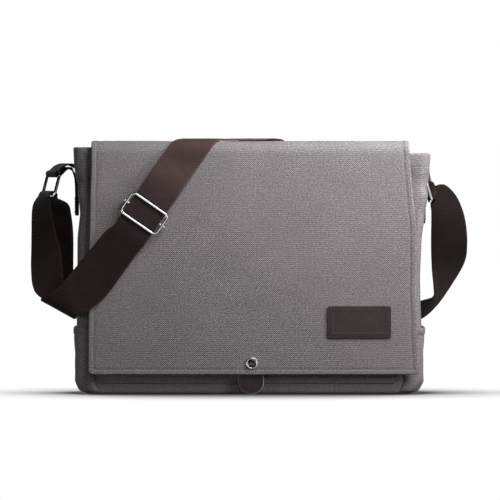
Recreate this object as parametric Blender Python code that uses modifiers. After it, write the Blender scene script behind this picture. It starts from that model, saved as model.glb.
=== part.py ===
"""A canvas messenger bag: body panels, lining, flap, webbing strap, rings and slide buckle.

Metres, +Z up. The origin is the centre of the flat base, the front of the bag faces -Y
and its width runs along X.
"""

import math

import bmesh
import bpy
import numpy as np
from mathutils import Vector

# Body: a box of stitched panels with 0.3 mm between neighbours.
GAP = 0.0003
HALF_DEPTH = 0.050
PANEL = 0.0020
BASE = 0.0022
BODY_TOP = 0.2575
FRONT_TOP = 0.2535
POCKET_PATCH = 0.0012
LINING = 0.0008

# Outline of the front and back panels: height, left edge, right edge.
PANEL_OUTLINE = [
    (0.0025, -0.1750, 0.1735),
    (0.0130, -0.1800, 0.1795),
    (0.0670, -0.1812, 0.1804),
    (0.1080, -0.1806, 0.1790),
    (0.1220, -0.1805, 0.1785),
    (0.1640, -0.1800, 0.1804),
    (0.1870, -0.1775, 0.1838),
    (0.2060, -0.1795, 0.1868),
    (0.2390, -0.1835, 0.1885),
    (0.2535, -0.1840, 0.1895),
]

# Outer face of each gusset at its front and rear edges: height, left, right.
GUSSET_EDGE = [
    (0.0028, -0.1796, 0.1788),
    (0.1080, -0.1796, 0.1786),
    (0.1640, -0.1798, 0.1800),
    (0.1870, -0.1785, 0.1836),
    (0.2060, -0.1795, 0.1866),
    (0.2390, -0.1833, 0.1883),
    (0.2510, -0.1838, 0.1893),
]
GUSSET_MIDDLE = 0.1785
RIGHT_TAB_FACE = 0.1799

# Flap: an angled cover, hinged along the top of the back panel.
FLAP_HINGE = Vector((0.0, 0.0490, 0.2600))
FLAP_REAR = 0.0470
FLAP_FRONT = -0.0609
FLAP_TOP = 0.2640
FLAP_PANEL = 0.0022
FLAP_LINING = 0.0010
FLAP_CORNER = 0.0131
# Height, left edge and right edge of the hanging part, from the bottom hem up.
FLAP_EDGES = [
    (0.0215, -0.1670, 0.1760),
    (0.0990, -0.1665, 0.1727),
    (0.1710, -0.1655, 0.1727),
    (0.2130, -0.1645, 0.1686),
    (0.2640, -0.1635, 0.1650),
]

# Webbing strap and its slide buckle.
WEBBING = 0.0380
WEBBING_THICK = 0.0020
FOLD_THICK = 0.0014
BUCKLE = Vector((-0.1093, FLAP_FRONT, 0.1890))
STRAP_SLOPE = math.radians(55.3)
STRAP_CUT_FLAP = -0.1680
# How far down the strap from the buckle the returning strand ends.
RETURN_TAIL = 0.0520
BUCKLE_WIRE = 0.0012
BUCKLE_HALF_LONG = 0.0210
BUCKLE_HALF_SHORT = 0.0108
BUCKLE_BAR_LIFT = 0.0032
BUCKLE_FRAME_LIFT = 0.0099

# Rings at the two ends of the strap, each held by a webbing tab.
RING_WIRE = 0.00175
RING_HALF_WIDTH = 0.0215
LEFT_PIVOT = Vector((-0.2050, 0.0, 0.2295))
LEFT_BAR = Vector((0.310, -0.950, 0.0)).normalized()
LEFT_HANG = Vector((-0.27, 0.0, -0.963))
LEFT_HEIGHT = 0.0225
RIGHT_PIVOT = Vector((0.1849, -0.0075, 0.2290))
RIGHT_BAR = Vector((0.0, -0.92, -0.39)).normalized()
RIGHT_HANG = Vector((0.25, 0.0, -0.97))
RIGHT_HEIGHT = 0.0205
LEFT_FOLD_RADIUS = 0.0082
LEFT_FOLD_LEG = 0.0080
RIGHT_FOLD_RADIUS = 0.0031
RIGHT_FOLD_LEG = 0.0090
TAB_WIDTH = 0.0360
TAB_THICK = 0.0015

# Snap fastener, pull tab and patch on the flap.
SNAP = Vector((0.0026, 0.0, 0.0330))
SNAP_RADIUS = 0.0060
TAB_HALF = 0.0125
PULL_TAB = (0.0018, 0.0135, 0.0480)
PATCH = (0.0809, 0.0589, 0.1474, 0.0925)
PATCH_THICK = 0.0014
LEATHER = 0.0018

# Boxes, each by its low and high corner.
BOTTOM_PANEL = ((-0.176, -0.0492, 0.0), (0.176, 0.0492, BASE))
BOTTOM_BOARD = ((-0.172, -0.0455, 0.0026), (0.172, 0.0455, 0.0048))
DIVIDER = ((-0.170, 0.0235, 0.0065), (0.170, 0.0305, 0.2250))
LINING_SIZE = (0.3460, 0.0944, 0.2360)
LINING_MIDDLE = 0.1235
FRONT_POCKET_HALF = 0.150
FRONT_POCKET_HEIGHTS = (0.012, 0.190)
SIDE_POCKET_HALF = 0.0460
SIDE_POCKET_HEIGHTS = (0.0040, 0.0690)
SIDE_POCKET_FACES = ((-1, "side_pocket_left", 0.1802), (1, "side_pocket_right", 0.1794))

for old in list(bpy.data.objects):
    bpy.data.objects.remove(old, do_unlink=True)

scene = bpy.context.scene
bag = bpy.data.collections.new("messenger_bag")
scene.collection.children.link(bag)


def material(name, colour, roughness, metallic=0.0):
    made = bpy.data.materials.new(name)
    made.use_nodes = True
    shader = made.node_tree.nodes["Principled BSDF"]
    shader.inputs["Base Color"].default_value = (*colour, 1.0)
    shader.inputs["Roughness"].default_value = roughness
    shader.inputs["Metallic"].default_value = metallic
    return made


CANVAS = material("canvas", (0.235, 0.212, 0.218), 0.92)
LINING_CLOTH = material("lining_cloth", (0.060, 0.055, 0.055), 0.85)
BOARD = material("board", (0.100, 0.095, 0.090), 0.80)
WEB = material("webbing", (0.052, 0.030, 0.027), 0.88)
LEATHER_DARK = material("leather", (0.045, 0.028, 0.025), 0.55)
CHROME = material("chrome", (0.78, 0.78, 0.80), 0.16, 1.0)


def add(name, mesh, finish, location=(0, 0, 0)):
    piece = bpy.data.objects.new(name, mesh)
    piece.location = location
    piece.data.materials.append(finish)
    bag.objects.link(piece)
    return piece


def slab(name, low, high, finish, bevel=0.0):
    """A box between two corners, with rounded edges where a bevel is given."""
    low, high = Vector(low), Vector(high)
    shape = bmesh.new()
    bmesh.ops.create_cube(shape, size=1.0)
    bmesh.ops.scale(shape, vec=high - low, verts=shape.verts)
    mesh = bpy.data.meshes.new(name)
    shape.to_mesh(mesh)
    shape.free()
    piece = add(name, mesh, finish, (low + high) / 2)
    if bevel:
        edge = piece.modifiers.new("rounded", "BEVEL")
        edge.width = bevel
        edge.segments = 2
    return piece


def shell(name, rows, thickness, finish):
    """An open surface through rows of points, given its thickness about the middle."""
    shape = bmesh.new()
    grid = [[shape.verts.new(point) for point in row] for row in rows]
    for lower, upper in zip(grid, grid[1:]):
        for k in range(len(lower) - 1):
            shape.faces.new((lower[k], lower[k + 1], upper[k + 1], upper[k]))
    mesh = bpy.data.meshes.new(name)
    shape.to_mesh(mesh)
    shape.free()
    piece = add(name, mesh, finish)
    solid = piece.modifiers.new("cloth", "SOLIDIFY")
    solid.thickness = thickness
    solid.offset = 0.0
    solid.use_even_offset = True
    mesh.polygons.foreach_set("use_smooth", [True] * len(mesh.polygons))
    mesh.set_sharp_from_angle(angle=math.radians(40))
    return piece


def smooth_through(points, count):
    """Evenly spaced points on a Catmull-Rom curve through the given points."""
    route = np.array(points, float)
    route = np.vstack([2 * route[0] - route[1], route, 2 * route[-1] - route[-2]])
    dense = []
    for a, b, c, d in zip(route, route[1:], route[2:], route[3:]):
        for t in np.linspace(0, 1, 12, endpoint=False):
            linear = (c - a) * t
            square = (2 * a - 5 * b + 4 * c - d) * t**2
            cube = (3 * b - a - 3 * c + d) * t**3
            dense.append(0.5 * (2 * b + linear + square + cube))
    dense = np.array(dense + [route[-2]])
    steps = np.linalg.norm(np.diff(dense, axis=0), axis=1)
    along = np.concatenate([[0], np.cumsum(steps)])
    even = np.linspace(0, along[-1], count)
    return np.stack([np.interp(even, along, dense[:, k]) for k in range(dense.shape[1])], 1)


def ribbon(name, edges, thickness, finish, count):
    """A band of webbing between two edges: each station is a pair of points, one on each."""
    stations = [(*first, *second) for first, second in edges]
    rows = []
    for station in smooth_through(stations, count):
        first, second = Vector(station[:3]), Vector(station[3:])
        rows.append([first, (first + second) / 2, second])
    return shell(name, rows, thickness, finish)


def wire(name, points, radius, finish, cyclic=False):
    """A round bar along straight runs between close points, with filled ends."""
    curve = bpy.data.curves.new(name, "CURVE")
    curve.dimensions = "3D"
    curve.bevel_depth = radius
    curve.bevel_resolution = 2
    curve.use_fill_caps = not cyclic
    spline = curve.splines.new("POLY")
    spline.points.add(len(points) - 1)
    for point, place in zip(spline.points, points):
        point.co = (*place, 1.0)
    spline.use_cyclic_u = cyclic
    return add(name, curve, finish)


def arc(centre, radius, start, end, count):
    """Points on an arc in a plane, with the angles in degrees."""
    angles = [math.radians(start + (end - start) * k / (count - 1)) for k in range(count)]
    return [(centre[0] + radius * math.cos(a), centre[1] + radius * math.sin(a)) for a in angles]


def rounded_rectangle(half_x, half_y, radius, count=5):
    inner_x, inner_y = half_x - radius, half_y - radius
    corners = [(inner_x, inner_y), (-inner_x, inner_y), (-inner_x, -inner_y), (inner_x, -inner_y)]
    points = []
    for k, corner in enumerate(corners):
        points += arc(corner, radius, 90 * k, 90 * k + 90, count)
    return points


def plate(name, outline, thickness, y_outer, finish):
    """A flat piece cut to an outline in X and Z, its outer face at y_outer and facing -Y."""
    curve = bpy.data.curves.new(name, "CURVE")
    curve.dimensions = "2D"
    curve.fill_mode = "BOTH"
    curve.extrude = thickness / 2
    spline = curve.splines.new("POLY")
    spline.points.add(len(outline) - 1)
    for point, (x, z) in zip(spline.points, outline):
        point.co = (x, z, 0.0, 1.0)
    spline.use_cyclic_u = True
    piece = add(name, curve, finish, (0, y_outer + thickness / 2, 0))
    piece.rotation_euler = (math.pi / 2, 0, 0)
    return piece


def turned(name, profile, y_origin, finish):
    """A round piece about the snap's axis. The profile is (radius, height outwards)."""
    mesh = bpy.data.meshes.new(name)
    shape = bmesh.new()
    points = [shape.verts.new((radius, 0, height)) for radius, height in profile]
    for a, b in zip(points, points[1:]):
        shape.edges.new((a, b))
    if profile[0][0] > 0:
        shape.edges.new((points[-1], points[0]))
    shape.to_mesh(mesh)
    shape.free()
    piece = add(name, mesh, finish, (SNAP.x, y_origin, SNAP.z))
    piece.rotation_euler = (math.pi / 2, 0, 0)
    spin = piece.modifiers.new("turned", "SCREW")
    spin.steps = spin.render_steps = 24
    spin.use_merge_vertices = True
    spin.merge_threshold = 0.00005
    spin.use_smooth_shade = True
    return piece


def between(table, height):
    """The left and right edges at a height, read from a table of height, left, right."""
    heights = [row[0] for row in table]
    left = np.interp(height, heights, [row[1] for row in table])
    right = np.interp(height, heights, [row[2] for row in table])
    return float(left), float(right)


def body_panels():
    slab("bottom_panel", *BOTTOM_PANEL, CANVAS, 0.0006)
    for name, y, top in (("front_panel", -1, FRONT_TOP), ("back_panel", 1, BODY_TOP)):
        middle = y * (HALF_DEPTH - PANEL / 2)
        outline = [row for row in PANEL_OUTLINE if row[0] < top]
        outline.append((top, *between(PANEL_OUTLINE, top)))
        rows = []
        for z, left, right in outline:
            rows.append([(left + (right - left) * k / 4, middle, z) for k in range(5)])
        shell(name, rows, PANEL, CANVAS)


def gusset(side):
    """A side panel: straight below, and flaring at its top corners into two ears."""
    reach = HALF_DEPTH - PANEL - 0.0011
    name = "gusset_left" if side < 0 else "gusset_right"
    rows = []
    for z, left, right in GUSSET_EDGE:
        edge = -left if side < 0 else right
        row = []
        for k in range(9):
            across = -1 + k / 4
            flare = (edge - GUSSET_MIDDLE) * across**4 if z > 0.17 else edge - GUSSET_MIDDLE
            row.append((side * (GUSSET_MIDDLE + flare - PANEL / 2), across * reach, z))
        rows.append(row)
    return shell(name, rows, PANEL, CANVAS)


def pockets():
    for side, name, face in SIDE_POCKET_FACES:
        near, far = side * face, side * (face + POCKET_PATCH)
        low = (min(near, far), -SIDE_POCKET_HALF, SIDE_POCKET_HEIGHTS[0])
        high = (max(near, far), SIDE_POCKET_HALF, SIDE_POCKET_HEIGHTS[1])
        slab(name, low, high, CANVAS, 0.0004)
    low = (-FRONT_POCKET_HALF, -HALF_DEPTH - GAP - POCKET_PATCH, FRONT_POCKET_HEIGHTS[0])
    high = (FRONT_POCKET_HALF, -HALF_DEPTH - GAP, FRONT_POCKET_HEIGHTS[1])
    slab("front_pocket", low, high, CANVAS, 0.0004)


def interior():
    slab("bottom_board", *BOTTOM_BOARD, BOARD, 0.0005)
    shape = bmesh.new()
    bmesh.ops.create_cube(shape, size=1.0)
    bmesh.ops.scale(shape, vec=LINING_SIZE, verts=shape.verts)
    top = [face for face in shape.faces if face.normal.z > 0.5]
    bmesh.ops.delete(shape, geom=top, context="FACES_ONLY")
    mesh = bpy.data.meshes.new("lining")
    shape.to_mesh(mesh)
    shape.free()
    lining = add("lining", mesh, LINING_CLOTH, (0, 0, LINING_MIDDLE))
    cloth = lining.modifiers.new("cloth", "SOLIDIFY")
    cloth.thickness = LINING
    cloth.offset = -1.0
    cloth.use_even_offset = True
    slab("laptop_divider", *DIVIDER, LINING_CLOTH, 0.0024)


def flap_shell(name, depth, thickness, finish, inset):
    """One layer of the flap: flat over the mouth, round the front edge and down the front."""
    radius = FLAP_CORNER - depth
    centre = (FLAP_FRONT + FLAP_CORNER, FLAP_TOP - FLAP_CORNER)
    profile = [(FLAP_REAR, FLAP_TOP - depth), (0.0, FLAP_TOP - depth)]
    profile += arc(centre, radius, 90, 180, 7)
    profile += [(FLAP_FRONT + depth, z) for z in (0.213, 0.171, 0.099, FLAP_EDGES[0][0] + inset)]
    rows = []
    for y, z in profile:
        left, right = between(FLAP_EDGES, z)
        left, right = left + inset, right - inset
        rows.append([(left + (right - left) * k / 4, y, z) for k in range(5)])
    return shell(name, rows, thickness, finish)


def flap():
    flap_shell("flap_panel", FLAP_PANEL / 2, FLAP_PANEL, CANVAS, 0.0)
    inner = FLAP_PANEL + GAP + FLAP_LINING / 2
    flap_shell("flap_lining", inner, FLAP_LINING, LINING_CLOTH, 0.002)
    left, low, right, high = PATCH
    middle = ((left + right) / 2, (low + high) / 2)
    outline = rounded_rectangle((right - left) / 2, (high - low) / 2, 0.003)
    outline = [(x + middle[0], z + middle[1]) for x, z in outline]
    plate("leather_patch", outline, PATCH_THICK, FLAP_FRONT - GAP - PATCH_THICK, LEATHER_DARK)
    x, low, high = PULL_TAB
    outline = [(x + TAB_HALF, high), (x - TAB_HALF, high)]
    outline += arc((x, low), TAB_HALF, 180, 360, 15)
    inner_face = FLAP_FRONT + FLAP_PANEL + GAP + FLAP_LINING
    plate("leather_pull_tab", outline, LEATHER, inner_face + GAP, LEATHER_DARK)


def snap():
    """A press snap: a cap and a socket on the flap, and a stud on the front pocket."""
    r = SNAP_RADIUS
    cap = [(0.0, 0.0023), (0.0030, 0.0021), (0.0046, 0.0014), (r, 0.0008), (r, 0.0), (0.0, 0.0)]
    turned("snap_cap", cap, FLAP_FRONT - GAP, CHROME)
    socket = [(r, 0.0016), (r, 0.0), (0.0034, 0.0), (0.0034, 0.0016)]
    inner_face = FLAP_FRONT + FLAP_PANEL + GAP + FLAP_LINING + GAP + LEATHER
    turned("snap_socket", socket, inner_face + GAP + 0.0016, CHROME)
    stud = [(0.0, 0.0024), (0.0018, 0.0023), (0.0022, 0.0013), (r, 0.0013), (r, 0.0), (0.0, 0.0)]
    turned("snap_stud", stud, -HALF_DEPTH - GAP - POCKET_PATCH - GAP, CHROME)


def over_flap(x, run, lift):
    """A point over the flap's outside: run is the distance from the hinge edge, lift is outwards."""
    radius = FLAP_CORNER + 0.0013
    flat = FLAP_HINGE.y - (FLAP_FRONT + FLAP_CORNER)
    if run < flat:
        return Vector((x, FLAP_HINGE.y - run, FLAP_TOP + lift))
    bend = radius * math.pi / 2
    centre_y, centre_z = FLAP_FRONT + FLAP_CORNER, FLAP_TOP - FLAP_CORNER
    if run < flat + bend:
        turn = (run - flat) / radius
        out = FLAP_CORNER + lift
        return Vector((x, centre_y - out * math.sin(turn), centre_z + out * math.cos(turn)))
    return Vector((x, FLAP_FRONT - lift, centre_z - (run - flat - bend)))


def run_at(height):
    """The distance from the hinge edge to a height on the hanging part of the flap."""
    flat = FLAP_HINGE.y - (FLAP_FRONT + FLAP_CORNER)
    return flat + (FLAP_CORNER + 0.0013) * math.pi / 2 + FLAP_TOP - FLAP_CORNER - height


def ramp(value, start, end):
    t = min(max((value - start) / (end - start), 0.0), 1.0)
    return t * t * (3 - 2 * t)


def front_run_lift(up):
    """How far the strap's middle stands off the flap, at a distance up the strap from the buckle."""
    bed = 2 * GAP + WEBBING_THICK / 2
    raised = 0.0074
    if up > 0:
        return raised + (bed - raised) * ramp(up, 0.033, 0.075)
    doubled = bed + WEBBING_THICK
    return raised + (doubled - raised) * ramp(-up, 0.036, 0.054)


def flap_band(name, centre, lift, start, end, count):
    """A band laid on the flap along a line of (x, run) points, cut square at both ends.

    start and end say where each thread of the band begins and stops.
    """
    line = smooth_through(centre, 300)
    ahead = np.gradient(line, axis=0)
    ahead /= np.linalg.norm(ahead, axis=1)[:, None]
    sideways = np.stack([-ahead[:, 1], ahead[:, 0]], 1)
    steps = np.linalg.norm(np.diff(line, axis=0), axis=1)
    along = np.concatenate([[0], np.cumsum(steps)])
    buckle_run = run_at(BUCKLE.z)
    buckle_along = np.interp(buckle_run, line[:, 1], along)
    columns = []
    for k in range(5):
        thread = line + sideways * WEBBING * (k / 4 - 0.5)
        kept = np.array([start(x, run) and end(x, run) for x, run in thread])
        first, last = np.flatnonzero(kept)[[0, -1]]
        picked = np.linspace(first, last, count)
        places = []
        for at in picked:
            x = np.interp(at, range(len(thread)), thread[:, 0])
            run = np.interp(at, range(len(thread)), thread[:, 1])
            up = buckle_along - np.interp(at, range(len(thread)), along)
            places.append(over_flap(x, run, lift(up)))
        columns.append(places)
    rows = [list(row) for row in zip(*columns)]
    return shell(name, rows, WEBBING_THICK, WEB)


def strap_on_flap():
    """The strap's run over the top and down the front, and the strand that returns under it."""
    buckle_run = run_at(BUCKLE.z)
    across = 1 / math.tan(STRAP_SLOPE)
    top_x = BUCKLE.x + buckle_run * across
    low_run = run_at(0.1590)
    centre = [
        (top_x + 0.03 * across, -0.03),
        (top_x, 0.0),
        (BUCKLE.x + 0.5 * buckle_run * across, 0.5 * buckle_run),
        (BUCKLE.x, buckle_run),
        (BUCKLE.x - (low_run - buckle_run) * across, low_run),
        (-0.1492, run_at(0.1370)),
        (-0.1720, run_at(0.1130)),
        (-0.1950, run_at(0.0930)),
        (-0.2150, run_at(0.0780)),
    ]

    def on_flap(x, run):
        return x > STRAP_CUT_FLAP

    flap_band("strap_front_run", centre, front_run_lift, lambda x, run: run > 0.0, on_flap, 90)
    tail_run = run_at(BUCKLE.z - RETURN_TAIL * math.sin(STRAP_SLOPE))
    bed = GAP + WEBBING_THICK / 2
    flap_band("strap_return_strand", centre, lambda up: bed, lambda x, run: run > tail_run, on_flap, 10)


def buckle_place(u, v, n):
    """A point in the buckle's own frame: u across the strap, v up the strap, n off the flap."""
    up = Vector((math.cos(STRAP_SLOPE), 0, math.sin(STRAP_SLOPE)))
    across = Vector((math.sin(STRAP_SLOPE), 0, -math.cos(STRAP_SLOPE)))
    return BUCKLE + across * u + up * v + Vector((0, -n, 0))


def buckle():
    frame = rounded_rectangle(BUCKLE_HALF_LONG, BUCKLE_HALF_SHORT, 0.0050)
    points = [buckle_place(u, v, BUCKLE_FRAME_LIFT) for u, v in frame]
    wire("slide_buckle_frame", points, BUCKLE_WIRE, CHROME, True)
    end, knee = BUCKLE_HALF_LONG + 0.0027, 0.0016
    side = [(end, BUCKLE_FRAME_LIFT + 0.0006), (end, BUCKLE_BAR_LIFT + knee)]
    side += arc((end - knee, BUCKLE_BAR_LIFT + knee), knee, 0, -90, 4)[1:]
    bar = [buckle_place(u, 0, n) for u, n in side]
    bar += [buckle_place(-u, 0, n) for u, n in reversed(side)]
    wire("slide_buckle_bar", bar, BUCKLE_WIRE, CHROME)
    low, high = GAP + FOLD_THICK / 2, 2 * BUCKLE_BAR_LIFT - GAP - FOLD_THICK / 2
    path = [(-0.030, low), (-0.015, low), (-0.002, low)]
    path += arc((0, BUCKLE_BAR_LIFT), BUCKLE_BAR_LIFT - low, -90, 90, 9)
    path += [(-0.003, high - 0.0002), (-0.009, high - 0.0011), (-0.016, low + FOLD_THICK + GAP)]
    path += [(-0.030, low + FOLD_THICK + GAP)]
    half = WEBBING / 2
    edges = [(buckle_place(-half, v, n), buckle_place(half, v, n)) for v, n in path]
    shell("strap_buckle_fold", edges, FOLD_THICK, WEB)


def ring_frame(bar, hang):
    """Directions of a hanging ring: along its bars, down, and outwards."""
    down = (hang - bar * hang.dot(bar)).normalized()
    out = down.cross(bar)
    return down, out


def ring(name, fold_name, pivot, bar, hang, height, fold_radius, leg):
    """A rectangular ring with the end of the strap folded over its lower bar."""
    down, out = ring_frame(bar, hang)
    if out.x * pivot.x < 0:
        out = -out
    centre = pivot + down * height / 2
    loop = rounded_rectangle(RING_HALF_WIDTH, height / 2, 0.0023)
    points = [centre + bar * u + down * v for u, v in loop]
    wire(name, points, RING_WIRE, CHROME, True)
    thick = WEBBING_THICK - 0.0002
    inner = fold_radius - thick / 2
    middle = pivot + down * (height + inner - RING_WIRE - GAP)
    path = [(-fold_radius, leg), (-fold_radius, leg / 2)]
    path += [(x, -z) for x, z in arc((0, 0), fold_radius, 180, 0, 13)]
    path += [(fold_radius, leg / 2), (fold_radius, leg)]
    half = WEBBING / 2
    rows = []
    for x, z in path:
        place = middle + out * x + down * z
        rows.append([place - bar * half, place, place + bar * half])
    shell(fold_name, rows, thick, WEB)


def tab(name, face, pivot, bar, before, after, turn_from, turn_to):
    """A webbing tab: up the gusset, over the ring's upper bar, and back down over itself.

    Points are (distance off the gusset, height). The band turns from lying square on the
    gusset to lying along the bar between two distances from the sewn end.
    """
    side = 1 if pivot.x > 0 else -1
    centre = (abs(pivot.x) - face, pivot.z)
    reach = RING_WIRE + GAP + TAB_THICK / 2 + 0.0003
    around = arc(centre, reach, 100, -110, 9)
    edges = []
    for away, z in smooth_through(before + around + after, 64):
        turn = ramp(away + z, turn_from, turn_to)
        along = Vector((0, -1, 0)).lerp(bar, turn).normalized()
        middle = Vector((side * (face + away), pivot.y, z))
        edges.append((middle - along * TAB_WIDTH / 2, middle + along * TAB_WIDTH / 2))
    shell(name, edges, TAB_THICK, WEB)


def tabs():
    """The two tabs: each runs from its sewn end to the ring, and from the ring back."""
    before = [(0.0012, 0.186), (0.0012, 0.205), (0.0014, 0.222), (0.0030, 0.2330)]
    before += [(0.0075, 0.2385), (0.0140, 0.2398), (0.0205, 0.2375)]
    after = [(0.0215, 0.2303), (0.0190, 0.2330), (0.0140, 0.2360), (0.0088, 0.2350)]
    after += [(0.0055, 0.2305), (0.0036, 0.2220), (0.0031, 0.205), (0.0031, 0.186)]
    tab("ring_tab_left", GUSSET_MIDDLE, LEFT_PIVOT, LEFT_BAR, before, after, 0.236, 0.254)
    before = [(0.0012, 0.178), (0.0012, 0.200), (0.0012, 0.2180), (0.0016, 0.2285)]
    after = [(0.0036, 0.2215), (0.0031, 0.2140), (0.0031, 0.200), (0.0031, 0.178)]
    tab("ring_tab_right", RIGHT_TAB_FACE, RIGHT_PIVOT, RIGHT_BAR, before, after, 0.207, 0.229)


# The strap's free loops, as pairs of points on the band's two edges.
LEFT_OUTER = [
    ((-0.1686, -0.0646, 0.1480), (-0.1686, -0.0646, 0.0895)),
    ((-0.1814, -0.0658, 0.1331), (-0.1750, -0.0658, 0.0845)),
    ((-0.1959, -0.0664, 0.1154), (-0.1785, -0.0660, 0.0820)),
    ((-0.2095, -0.0645, 0.1035), (-0.1793, -0.0635, 0.0808)),
    ((-0.2165, -0.0560, 0.0985), (-0.1832, -0.0530, 0.0805)),
    ((-0.2170, -0.0440, 0.1020), (-0.1836, -0.0410, 0.0870)),
    ((-0.2160, -0.0330, 0.1160), (-0.1836, -0.0370, 0.1080)),
    ((-0.2140, -0.0210, 0.1370), (-0.1838, -0.0350, 0.1350)),
    ((-0.2100, -0.0025, 0.1680), (-0.1850, -0.0300, 0.1670)),
    ((-0.2050, 0.0205, 0.1900), (-0.1925, -0.0150, 0.1900)),
]
LEFT_INNER = [
    ((-0.1686, -0.0622, 0.1470), (-0.1686, -0.0622, 0.0905)),
    ((-0.1814, -0.0628, 0.1331), (-0.1745, -0.0628, 0.0862)),
    ((-0.1955, -0.0625, 0.1165), (-0.1785, -0.0622, 0.0850)),
    ((-0.2090, -0.0605, 0.1085), (-0.1810, -0.0600, 0.0850)),
    ((-0.2180, -0.0550, 0.1055), (-0.1850, -0.0560, 0.0885)),
    ((-0.2262, -0.0450, 0.1150), (-0.1915, -0.0520, 0.1030)),
    ((-0.2280, -0.0330, 0.1310), (-0.1945, -0.0480, 0.1280)),
    ((-0.2280, -0.0170, 0.1500), (-0.1970, -0.0400, 0.1500)),
    ((-0.2280, -0.0040, 0.1680), (-0.2022, -0.0320, 0.1680)),
    ((-0.2275, 0.0125, 0.1905), (-0.2110, -0.0215, 0.1905)),
]
RIGHT_LOOP = [
    ((0.2120, 0.0130, 0.2085), (0.1908, -0.0095, 0.1900)),
    ((0.2225, 0.0110, 0.1880), (0.1903, -0.0030, 0.1740)),
    ((0.2270, 0.0160, 0.1560), (0.1905, 0.0140, 0.1460)),
    ((0.2245, 0.0390, 0.1370), (0.1915, 0.0230, 0.1280)),
    ((0.2132, 0.0640, 0.1120), (0.1934, 0.0320, 0.1100)),
    ((0.1970, 0.0780, 0.0890), (0.1930, 0.0420, 0.0996)),
    ((0.1810, 0.0852, 0.0751), (0.1810, 0.0530, 0.0949)),
    ((0.1622, 0.0865, 0.0715), (0.1698, 0.0535, 0.0885)),
    ((0.1405, 0.0808, 0.0763), (0.1595, 0.0542, 0.0957)),
    ((0.1203, 0.0686, 0.0892), (0.1477, 0.0534, 0.1108)),
]


def band_on_back(height):
    """The strap's two edges where it crosses a height on the back panel."""
    across = 1 / math.tan(STRAP_SLOPE)
    top_x = BUCKLE.x + run_at(BUCKLE.z) * across
    middle = top_x + across * (FLAP_TOP - height)
    half = WEBBING / 2 / math.sin(STRAP_SLOPE)
    y = HALF_DEPTH + 3 * GAP + WEBBING_THICK / 2
    return (middle - half, y, height), (middle + half, y, height)


def strap_loops():
    ribbon("strap_left_outer", LEFT_OUTER, WEBBING_THICK, WEB, 40)
    ribbon("strap_left_inner", LEFT_INNER, WEBBING_THICK, WEB, 40)
    ribbon("strap_right_loop", RIGHT_LOOP, WEBBING_THICK, WEB, 44)
    edges = [band_on_back(height) for height in (0.2555, 0.2100, 0.1600)]
    edges.append(((0.1020, 0.0560, 0.1120), (0.1330, 0.0526, 0.1345)))
    edges.append(((0.1178, 0.0660, 0.0918), (0.1462, 0.0540, 0.1130)))
    ribbon("strap_rear_run", edges, WEBBING_THICK, WEB, 24)


body_panels()
for side in (-1, 1):
    gusset(side)
pockets()
interior()
flap()
snap()
strap_on_flap()
buckle()
tabs()
left_place = (LEFT_PIVOT, LEFT_BAR, LEFT_HANG, LEFT_HEIGHT)
ring("ring_left", "strap_left_fold", *left_place, LEFT_FOLD_RADIUS, LEFT_FOLD_LEG)
right_place = (RIGHT_PIVOT, RIGHT_BAR, RIGHT_HANG, RIGHT_HEIGHT)
ring("ring_right", "strap_right_fold", *right_place, RIGHT_FOLD_RADIUS, RIGHT_FOLD_LEG)
strap_loops()
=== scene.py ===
"""Looks for the canvas messenger bag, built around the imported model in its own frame.

Metres, +Z up, the front of the bag faces -Y. Every cloth piece carries a UV map in metres,
so that weave, ribs and stitches keep their real size.
"""

import math

import bmesh
import bpy
import numpy as np
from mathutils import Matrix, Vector, noise


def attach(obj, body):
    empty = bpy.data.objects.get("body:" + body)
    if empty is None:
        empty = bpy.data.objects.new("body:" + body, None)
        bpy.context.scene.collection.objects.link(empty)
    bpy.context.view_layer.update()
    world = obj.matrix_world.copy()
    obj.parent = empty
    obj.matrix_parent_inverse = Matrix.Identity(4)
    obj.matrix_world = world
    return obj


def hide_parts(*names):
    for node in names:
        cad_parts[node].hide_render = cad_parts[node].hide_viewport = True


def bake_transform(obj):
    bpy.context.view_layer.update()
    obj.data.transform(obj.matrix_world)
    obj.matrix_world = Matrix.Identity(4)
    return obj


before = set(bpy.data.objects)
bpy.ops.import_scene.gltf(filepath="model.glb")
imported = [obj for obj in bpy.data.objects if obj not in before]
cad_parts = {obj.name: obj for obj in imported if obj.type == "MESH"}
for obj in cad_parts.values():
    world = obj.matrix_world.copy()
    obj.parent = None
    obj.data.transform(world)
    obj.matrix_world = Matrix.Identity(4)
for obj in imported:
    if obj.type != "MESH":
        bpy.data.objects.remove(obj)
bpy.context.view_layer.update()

# Body: the same outline as the CAD panels, lofted as one soft shell. A row of the outline
# is a height, the left edge and the right edge.
HALF_DEPTH = 0.0500
CANVAS_THICK = 0.0020
LINING_THICK = 0.0008
EDGE_ROUND = 0.4
WEAVE_PITCH = 0.0021
BODY_TOP = 0.2535
OUTLINE = [
    (0.0000, -0.1710, 0.1700),
    (0.0040, -0.1762, 0.1748),
    (0.0130, -0.1800, 0.1795),
    (0.0670, -0.1812, 0.1804),
    (0.1080, -0.1806, 0.1790),
    (0.1220, -0.1805, 0.1785),
    (0.1640, -0.1800, 0.1804),
    (0.1870, -0.1775, 0.1838),
    (0.2060, -0.1795, 0.1868),
    (0.2390, -0.1835, 0.1885),
    (0.2535, -0.1840, 0.1895),
]

# Flap: two rounded turns join the front to the flat top and the top to the yoke behind.
FLAP_FRONT = -0.0609
FLAP_TOP = 0.2640
FLAP_PANEL = 0.0022
FLAP_CORNER = 0.0131
FLAP_BACK = 0.0505
YOKE_LOW = 0.2380
REAR_CORNER = 0.0120
FLAP_EDGES = [
    (0.0215, -0.1670, 0.1760),
    (0.0990, -0.1665, 0.1727),
    (0.1710, -0.1655, 0.1727),
    (0.2130, -0.1645, 0.1686),
    (0.2640, -0.1635, 0.1650),
]

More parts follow.
